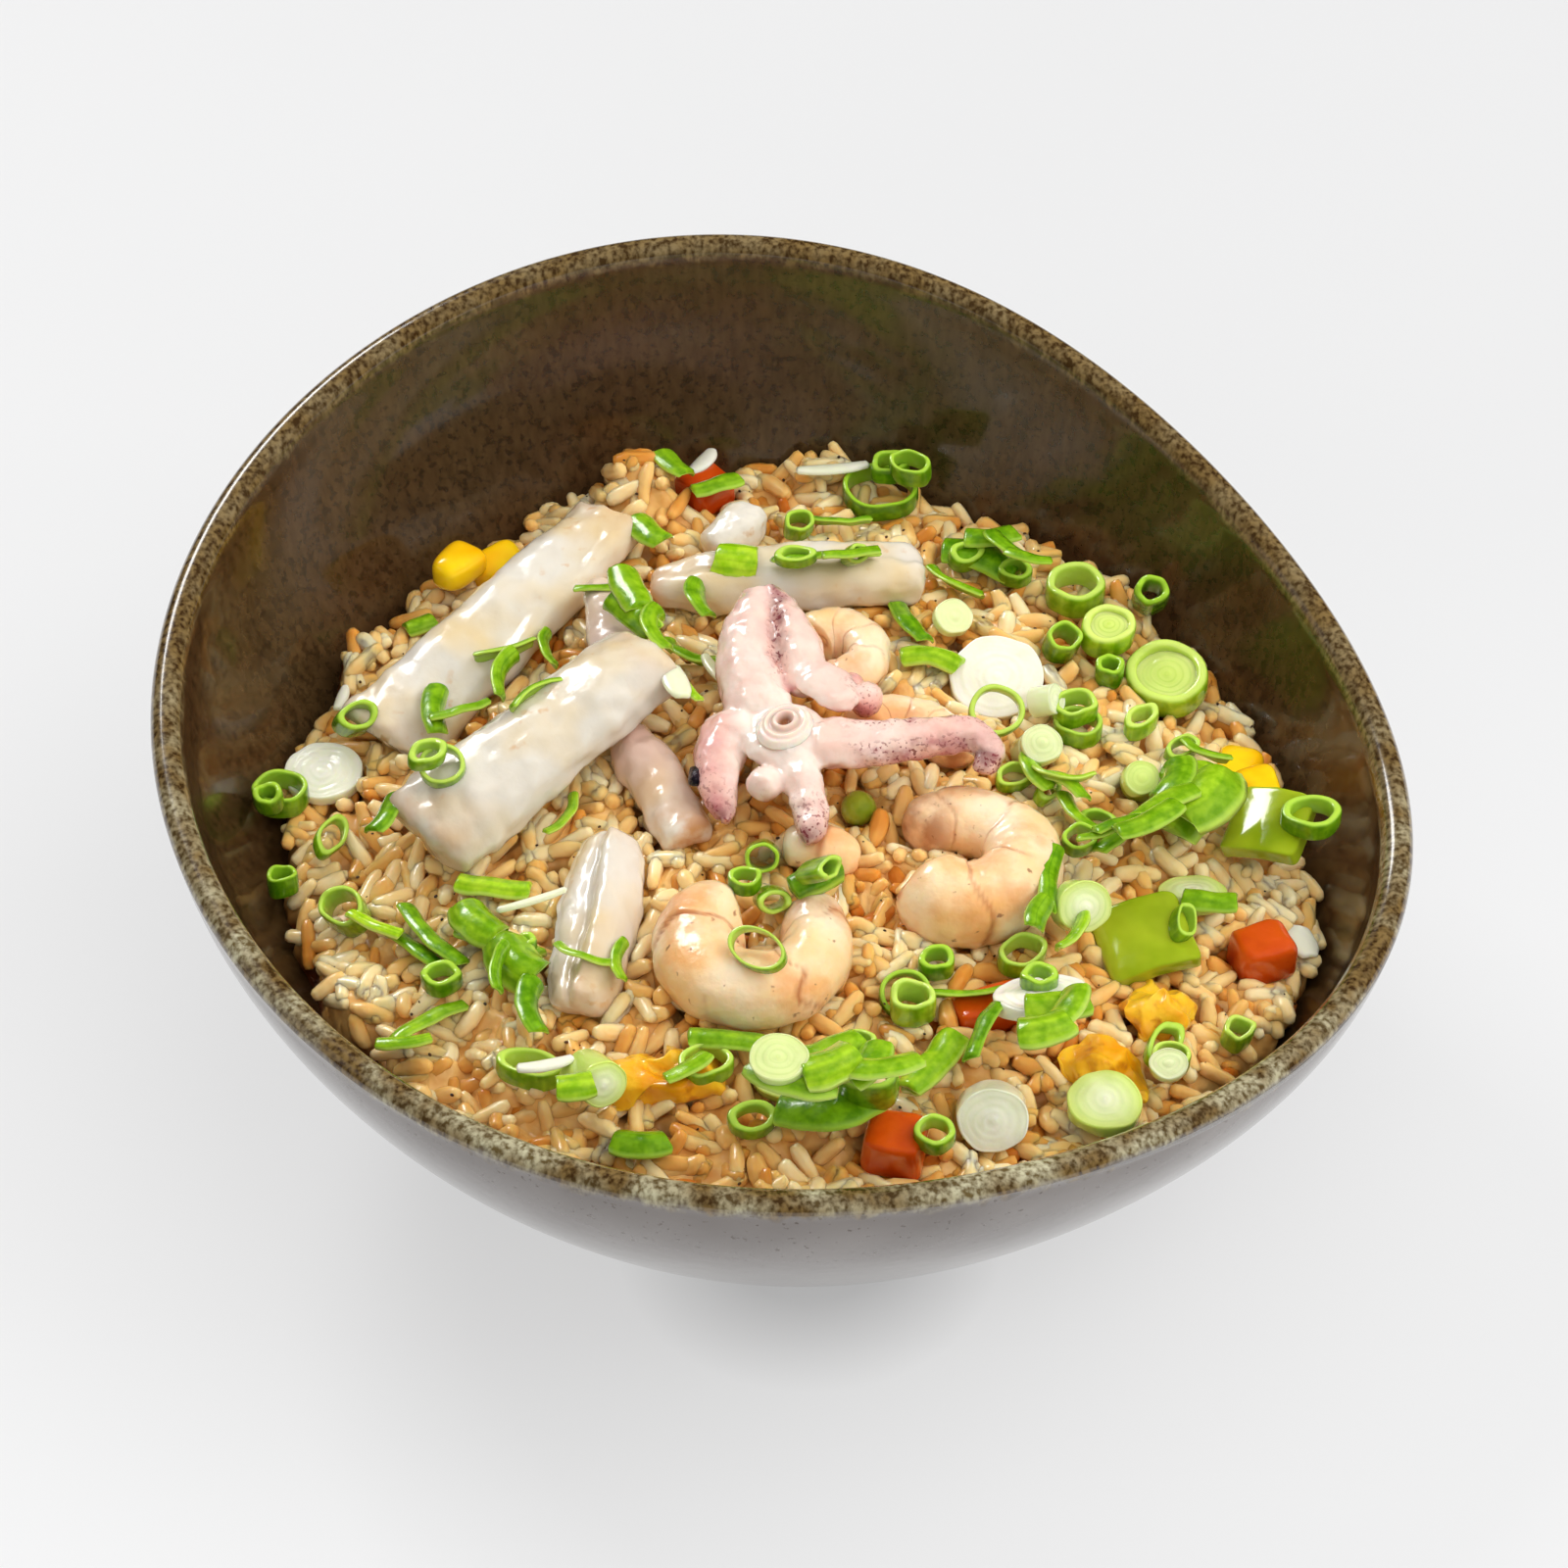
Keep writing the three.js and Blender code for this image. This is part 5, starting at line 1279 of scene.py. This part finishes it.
def spot_under(pixel_x, pixel_y):
    """The point of the heap seen through a pixel of the square frame, in millimetres."""
    ahead = Vector((
        (pixel_x / IMAGE_SIDE - 0.5 + SHIFT_X) * SENSOR_MM,
        -(pixel_y / IMAGE_SIDE - 0.5 - SHIFT_Y) * SENSOR_MM,
        -LENS_MM,
    ))
    ahead.rotate(camera.rotation_euler)
    levels = np.arange(100, 36, -0.2)
    gone = (levels - camera_place.z / MM) / ahead.z
    line = np.array(camera_place) / MM + gone[:, None] * np.array(ahead)
    rows, columns = cell_of(line[:, 0], line[:, 1])
    return line[np.argmax(heap_top[rows, columns] >= levels)]


def rest_on_heap(points, spot, sink):
    """Points moved to a spot and lowered until they touch what lies there, then sunk a little."""
    points = points + (spot[0], spot[1], 0)
    for _ in range(3):
        rows, columns = cell_of(points[:, 0], points[:, 1])
        points[:, 2] += np.percentile(heap_top[rows, columns] - points[:, 2], 96) - sink
        reach = np.hypot(points[:, 0], points[:, 1])
        room = inner_radius(np.arctan2(points[:, 1], points[:, 0]), points[:, 2]) - 0.3 - reach
        if room.min() >= 0:
            break
        points[:, :2] *= 1 + room.min() / reach[room.argmin()]
    rows, columns = cell_of(points[:, 0], points[:, 1])
    np.maximum.at(heap_top, (rows, columns), points[:, 2])
    return points


def curled_stops(length, curl, rise, halves, thickness):
    """Stops of a strip curled along its length by an angle in degrees, with its half widths."""
    bent = np.radians(curl) * np.linspace(-0.5, 0.5, len(halves))
    bow = length / np.radians(curl)
    return np.stack([bow * np.sin(bent), bow * (1 - np.cos(bent)), rise * np.cos(bent * 3),
                     halves, np.full(len(halves), thickness)], axis=1)


class Scatter:
    """Many small pieces of one kind, gathered into one mesh."""

    def __init__(self):
        self.points, self.faces, self.values, self.count = [], [], {}, 0

    def add(self, points, faces, values):
        self.faces.extend(tuple(int(c) + self.count for c in face) for face in faces)
        self.points.append(points)
        self.count += len(points)
        for key, numbers in values.items():
            self.values.setdefault(key, []).append(numbers)

    def place(self, name, finish, slot):
        values = {key: np.concatenate(parts) for key, parts in self.values.items()}
        add_piece(name, np.concatenate(self.points), self.faces, finish, None, values)


# Each ring: pixel across and down, radius, height, squeeze, tilt, heading and how pale it is.
LOOSE_RINGS = {
    "left_wall_wide": (283, 824, 4.8, 3.4, 0.8, 30, 10, 0.10),
    "left_wall_small": (281, 872, 2.5, 3.2, 0.9, 40, 0, 0.05),
    "left_wall_low": (289, 906, 2.6, 3.0, 0.9, 20, 0, 0.0),
    "left_under_slice": (366, 768, 3.7, 4.4, 0.7, 62, 30, 0.15),
    "left_loop": (338, 858, 4.6, 1.6, 0.5, 56, 70, 0.25),
    "left_tube": (354, 943, 3.9, 4.6, 0.85, 52, -25, 0.30),
    "left_front_dark": (450, 1000, 3.4, 2.6, 0.8, 30, 0, 0.10),
    "left_front_twin": (519, 1006, 2.6, 2.4, 0.8, 50, 20, 0.05),
    "left_front_pea_size": (536, 968, 1.9, 2.2, 0.9, 20, 0, 0.10),
    "front_oval": (541, 1100, 5.3, 2.6, 0.62, 18, -18, 0.40),
    "front_middle": (720, 1095, 4.3, 2.6, 0.80, 30, 15, 0.35),
    "front_torn": (768, 1152, 4.0, 2.2, 0.7, 40, 10, 0.20),
    "front_behind_carrot": (953, 1176, 3.2, 2.6, 0.9, 36, 0, 0.20),
    "front_stack_top": (778, 886, 2.9, 5.2, 0.9, 78, 0, 0.05),
    "front_stack_low": (788, 934, 2.8, 5.4, 0.7, 80, 10, 0.35),
    "front_stack_ring": (760, 905, 2.7, 2.2, 0.8, 30, 0, 0.10),
    "between_shrimps": (836, 909, 2.9, 5.0, 0.6, 76, 52, 0.30),
    "middle_tube": (931, 1036, 3.7, 4.2, 0.85, 34, 0, 0.55),
    "under_shrimp": (1042, 985, 4.2, 2.8, 0.75, 34, 30, 0.35),
    "under_shrimp_small": (1060, 1008, 3.0, 2.4, 0.8, 26, 0, 0.15),
    "right_of_slice": (1096, 734, 3.8, 2.8, 0.85, 30, 8, 0.40),
    "right_of_pea": (1163, 752, 3.6, 2.8, 0.6, 30, 40, 0.60),
    "right_wall": (1331, 900, 4.9, 2.6, 0.85, 24, 0, 0.15),
    "right_upright": (1207, 945, 4.0, 2.0, 0.5, 60, 80, 0.25),
    "right_low_loop": (1187, 1072, 5.0, 1.6, 0.5, 50, 62, 0.25),
    "right_low_tube": (1262, 1066, 2.7, 3.6, 0.85, 40, 20, 0.50),
    "right_low_half": (1192, 1112, 3.2, 3.4, 0.8, 40, 0, 0.50),
    "under_back_rings": (1132, 688, 2.6, 3.4, 0.9, 34, 0, 0.0),
    "behind_slice": (1083, 672, 3.2, 4.6, 0.85, 50, 20, 0.10),
    "back_right_dark": (1172, 632, 3.2, 6.2, 0.85, 60, 0, 0.0),
    "back_inner": (908, 505, 3.6, 2.6, 0.8, 30, 20, 0.05),
    "back_wall_second": (928, 500, 4.0, 3.0, 0.7, 34, -30, 0.10),
    "on_lobed_squid": (812, 574, 3.6, 1.6, 0.6, 30, 0, 0.30),
    "front_leaf_tube": (886, 1120, 4.8, 6.0, 0.85, 40, -10, 0.15),
    "front_leaf_ring": (868, 1090, 4.0, 2.4, 0.7, 20, 20, 0.40),
    "middle_dark": (955, 990, 3.0, 3.0, 0.8, 36, 0, 0.05),
    "right_cluster_1": (1035, 800, 3.4, 2.0, 0.7, 40, 20, 0.35),
    "right_cluster_2": (1068, 812, 3.0, 2.0, 0.6, 50, 60, 0.45),
    "right_cluster_3": (1120, 846, 3.2, 2.4, 0.7, 40, -20, 0.15),
    "right_cluster_4": (1100, 878, 3.0, 2.6, 0.8, 44, 10, 0.05),
    "right_cluster_5": (1162, 800, 2.8, 2.6, 0.7, 36, 30, 0.70),
    "right_cluster_6": (1205, 775, 3.4, 2.2, 0.6, 40, 40, 0.30),
    "back_cluster_1": (985, 575, 3.4, 2.6, 0.7, 44, 30, 0.20),
    "back_cluster_2": (1035, 592, 3.0, 2.6, 0.8, 40, 0, 0.10),
    "back_scrap": (815, 545, 2.8, 3.0, 0.8, 46, 20, 0.15),
    "squid_tip_ring": (436, 776, 3.4, 2.2, 0.7, 40, 30, 0.35),
    "mid_back_ring": (872, 575, 2.2, 3.0, 0.8, 70, 30, 0.35),
}
# Each shred: pixel, length, half width, curl in degrees, heading, roll and how pale it is.
LOOSE_SHREDS = {
    "left_leaf": (397, 882, 9, 2.0, 30, 70, 30, 0.15),
    "left_pale": (385, 962, 10, 1.2, 30, -30, 20, 0.85),
    "left_long": (443, 966, 17, 1.7, 30, -52, 34, 0.10),
    "left_wide_1": (490, 945, 9, 3.0, 40, -50, 10, 0.40),
    "left_wide_2": (528, 986, 10, 3.4, 50, -55, -8, 0.30),
    "left_wide_3": (505, 915, 12, 2.2, 10, -10, 16, 0.75),
    "left_under": (545, 1040, 12, 1.9, 60, -84, 40, 0.05),
    "left_under_2": (512, 1015, 11, 1.1, 40, -95, 60, 0.10),
    "fork_1": (436, 1046, 14, 1.6, -30, 36, 30, 0.35),
    "fork_2": (412, 1064, 9, 1.2, 40, 8, 20, 0.40),
    "front_chip": (590, 1160, 6, 2.2, 20, 10, 0, 0.65),
    "front_dark_leaf": (654, 1174, 8, 2.8, 50, 0, 20, 0.15),
    "front_strip": (748, 1066, 14, 2.2, -20, -8, 20, 0.30),
    "front_strip_2": (700, 1092, 8, 1.8, 40, 40, 30, 0.40),
    "front_middle_strip": (985, 1018, 12, 1.2, 20, 4, 50, 0.25),
    "on_shrimp_edge": (1072, 912, 15, 1.4, 20, -98, 30, 0.10),
    "on_shrimp_edge_2": (1060, 960, 7, 1.6, 40, -110, 30, 0.20),
    "right_strip": (1232, 943, 9, 2.3, 10, -8, 16, 0.30),
    "right_half_tube": (1075, 1077, 10, 2.8, 20, 6, 14, 0.53),
    "behind_bulb": (1078, 1112, 10, 2.6, 60, 60, 40, 0.38),
    "behind_bulb_2": (1058, 1148, 8, 3.0, 50, 20, 10, 0.48),
    "by_front_strip": (1000, 1082, 13, 1.5, -20, 70, 40, 0.05),
    "by_front_strip_2": (950, 1085, 14, 2.5, 10, 56, 12, 0.53),
    "leaf_front_1": (838, 1130, 13, 4.4, 60, 20, 20, 0.38),
    "leaf_front_2": (812, 1160, 12, 3.6, 70, -20, 30, 0.28),
    "leaf_front_3": (880, 1172, 9, 2.6, 50, 60, 20, 0.33),
    "leaf_front_4": (900, 1095, 11, 2.6, 60, 10, 30, 0.43),
    "leaf_front_5": (845, 1092, 9, 3.0, 30, 30, 0, 0.60),
    "left_squid_chip": (428, 639, 5.5, 2.0, 10, 30, 10, 0.35),
    "back_chip": (730, 516, 9, 2.2, 16, 24, 20, 0.30),
    "back_left_chip": (690, 487, 7, 2.4, 30, -50, 30, 0.25),
    "arc_by_squid": (576, 842, 11, 0.8, 70, 66, 20, 0.45),
    "curl_on_doubled": (596, 976, 11, 1.0, 70, -26, 40, 0.50),
    "curl_on_doubled_2": (634, 1002, 9, 1.0, 60, -92, 50, 0.35),
    "by_brown_shrimp": (930, 642, 11, 1.9, 20, -64, 30, 0.05),
    "by_brown_shrimp_2": (950, 682, 11, 2.4, -50, -14, 14, 0.50),
    "loop_on_squid_1": (515, 668, 11, 1.3, 40, 22, 70, 0.30),
    "loop_on_squid_2": (560, 672, 9, 1.2, 60, -80, 66, 0.20),
    "loop_on_squid_3": (516, 712, 12, 1.4, 60, -100, 60, 0.25),
    "loop_on_squid_4": (546, 712, 11, 1.1, -50, 40, 66, 0.25),
    "on_squid_end_1": (446, 730, 12, 1.8, 40, -86, 24, 0.20),
    "on_squid_end_2": (470, 745, 11, 1.4, 20, 24, 40, 0.20),
    "curl_between_1": (672, 655, 11, 1.9, 90, -80, 50, 0.30),
    "curl_between_2": (706, 672, 12, 1.9, 110, -30, 50, 0.20),
    "curl_between_3": (716, 645, 10, 1.7, 60, -76, 40, 0.15),
    "strip_between": (612, 602, 9, 1.3, 20, 6, 40, 0.25),
    "strip_between_2": (645, 612, 11, 2.4, 10, -70, 10, 0.35),
    "strip_between_3": (664, 570, 8, 2.4, 20, -50, 10, 0.25),
    "pale_on_lobed": (752, 572, 7, 3.6, 20, -10, 0, 0.85),
    "on_lobed": (868, 572, 10, 1.6, 10, 8, 40, 0.30),
    "thin_under_crown": (700, 745, 10, 0.9, 30, -60, 30, 0.75),
    "back_cluster_a": (1010, 552, 9, 2.6, 40, 10, 20, 0.20),
    "back_cluster_b": (1030, 570, 9, 2.2, 60, -50, 40, 0.10),
    "back_cluster_c": (975, 600, 12, 1.5, 50, -40, 50, 0.25),
    "back_cluster_d": (1048, 612, 8, 1.6, 50, -20, 30, 0.15),
    "back_strip": (850, 540, 14, 1.2, 30, -6, 50, 0.10),
    "right_leaf_1": (1222, 830, 12, 4.6, 60, 56, 20, 0.48),
    "right_leaf_2": (1192, 806, 10, 3.0, 70, 70, 40, 0.20),
    "right_leaf_3": (1185, 850, 13, 2.6, -40, 40, 30, 0.43),
    "right_shred_1": (1130, 862, 12, 1.4, 50, 30, 50, 0.25),
    "right_shred_2": (1150, 888, 13, 1.5, -40, 12, 40, 0.10),
    "right_shred_3": (1100, 832, 10, 1.5, 60, -60, 40, 0.30),
    "right_shred_4": (1060, 792, 9, 2.0, 60, -70, 40, 0.40),
    "right_shred_5": (1088, 808, 9, 1.6, -50, -40, 40, 0.35),
    "right_shred_6": (1230, 780, 9, 1.5, 70, -30, 50, 0.25),
    "right_shred_7": (1168, 868, 12, 2.2, 40, 34, 20, 0.30),
    "right_thin_loop": (1085, 790, 12, 0.7, 120, -10, 60, 0.55),
    "right_egg_strip": (1092, 1000, 9, 1.3, 60, 60, 50, 0.45),
}
scraps = Scatter()
for number, (x, y, radius, height, squeeze, tilt, heading, own) in enumerate(LOOSE_RINGS.values()):
    wall = (0.7 + 0.16 * radius) * (0.75 + 0.5 * (number * 0.618 % 1))
    points, faces, values = ring_skin(radius, wall, 1.3 * height, squeeze, number * 3.7, 0.11)
    points = rest_on_heap(turned(points, heading, tilt - 26), spot_under(x, y), 0.8)
    scraps.add(points, faces, {"own": np.full(len(points), 0.1 + own), **values})
for number, (x, y, length, half, curl, heading, roll, own) in enumerate(LOOSE_SHREDS.values()):
    stops = curled_stops(length, curl, 0.5, 1.25 * half * np.array([0.9, 1, 1, 1, 0.9]), 0.45)
    points, faces, values = leaf_shape(stops, roll, 0.22 + 0.13 * half, 24)
    points = turned(roughened(points, 0.35, 0.25, number), heading, 0)
    points = rest_on_heap(points - (*points[:, :2].mean(axis=0), 0), spot_under(x, y), 0.5)
    scraps.add(points, faces, {"own": np.full(len(points), 0.12 + own), **values})
scraps.place("loose_onion_greens", onion_green, "onion_green")

# Scraps over the grains: slivers and small coins of onion flesh, washed with green at their edges,
# and the pepper that was ground over the dish. Each row holds a pixel, then sizes and angles.
SLIVERS = {
    "back": (850, 488, 13, 1.8, 20, 8, 0.2), "by_carrot": (698, 463, 9, 2.4, 30, 60, 0.1),
    "mid": (692, 752, 8, 2.4, 10, -75, 0.3), "left": (545, 945, 12, 0.7, 10, 24, 0.3),
    "slice_edge": (289, 752, 7, 1.3, 10, 80, 0.2), "right": (1329, 966, 7, 2.8, 30, -80, 0.2),
    "middle": (730, 700, 9, 1.2, 20, -60, 0.4), "front": (560, 1135, 9, 1.4, 30, 14, 0.1),
}
slivers = Scatter()
for number, (x, y, length, half, curl, heading, green) in enumerate(SLIVERS.values()):
    stops = curled_stops(length, curl, 0.4, half * np.array([0.6, 0.9, 1, 0.9, 0.5]), 0.5)
    points, faces, _ = leaf_shape(stops, 16, 0.2, 20)
    points = rest_on_heap(turned(points, heading, 0), spot_under(x, y), 0.4)
    slivers.add(points, faces, {"out": np.full(len(points), 0.3), "green": np.full(len(points), green)})
PALE_COINS = {
    "right_of_tentacle": (1062, 772, 3.6, 2.2, 34, 10, 0.55),
    "behind_large": (972, 642, 3.6, 2.0, 30, 40, 0.6),
    "front_round": (795, 1088, 4.4, 2.4, 20, 0, 0.7),
    "front_right": (1190, 1110, 3.0, 2.4, 30, 0, 0.5),
    "right_of_beside": (1066, 735, 2.9, 4.4, 60, 70, 0.35),
    "under_right_leaf": (1163, 797, 3.2, 2.2, 40, 30, 0.9),
}
for number, (x, y, radius, height, tilt, heading, green) in enumerate(PALE_COINS.values()):
    points, faces, out = slice_skin(radius, height, seed=50 + number)
    points = rest_on_heap(turned(points, heading, tilt), spot_under(x, y), 0.6)
    slivers.add(points, faces, {"out": out, "green": np.full(len(points), green)})
slivers.place("loose_onion_whites", onion_white, "onion_white")

SPECK_TRIES = 420
speck_draw = np.random.default_rng(5)
specks = Scatter()
for _ in range(SPECK_TRIES):
    spin = speck_draw.uniform(0, 2 * math.pi)
    reach = RICE_REACH * math.sqrt(speck_draw.uniform(0, 1)) * 0.96
    x, y = reach * math.cos(spin), reach * math.sin(spin)
    size = speck_draw.uniform(0.16, 0.42)
    points, faces = ball(0, 0, 0, size, size * 0.7, size * 0.5, rows=3, sides=6)
    row, column = cell_of(x, y)
    if heap_top[row, column] > rice_top[row, column] + 0.1:
        continue
    specks.add(turned(points, math.degrees(spin) * 3) + (x, y, heap_top[row, column] + 0.02), faces, {})
pepper_black = Finish("ground_pepper")
pepper_black.colour(pepper_black.blend(pepper_black.mottled(900), rgb(30, 20, 12), rgb(84, 54, 28)))
pepper_black.surface(0.6)
specks.place("pepper_specks", pepper_black, "cooked_rice")
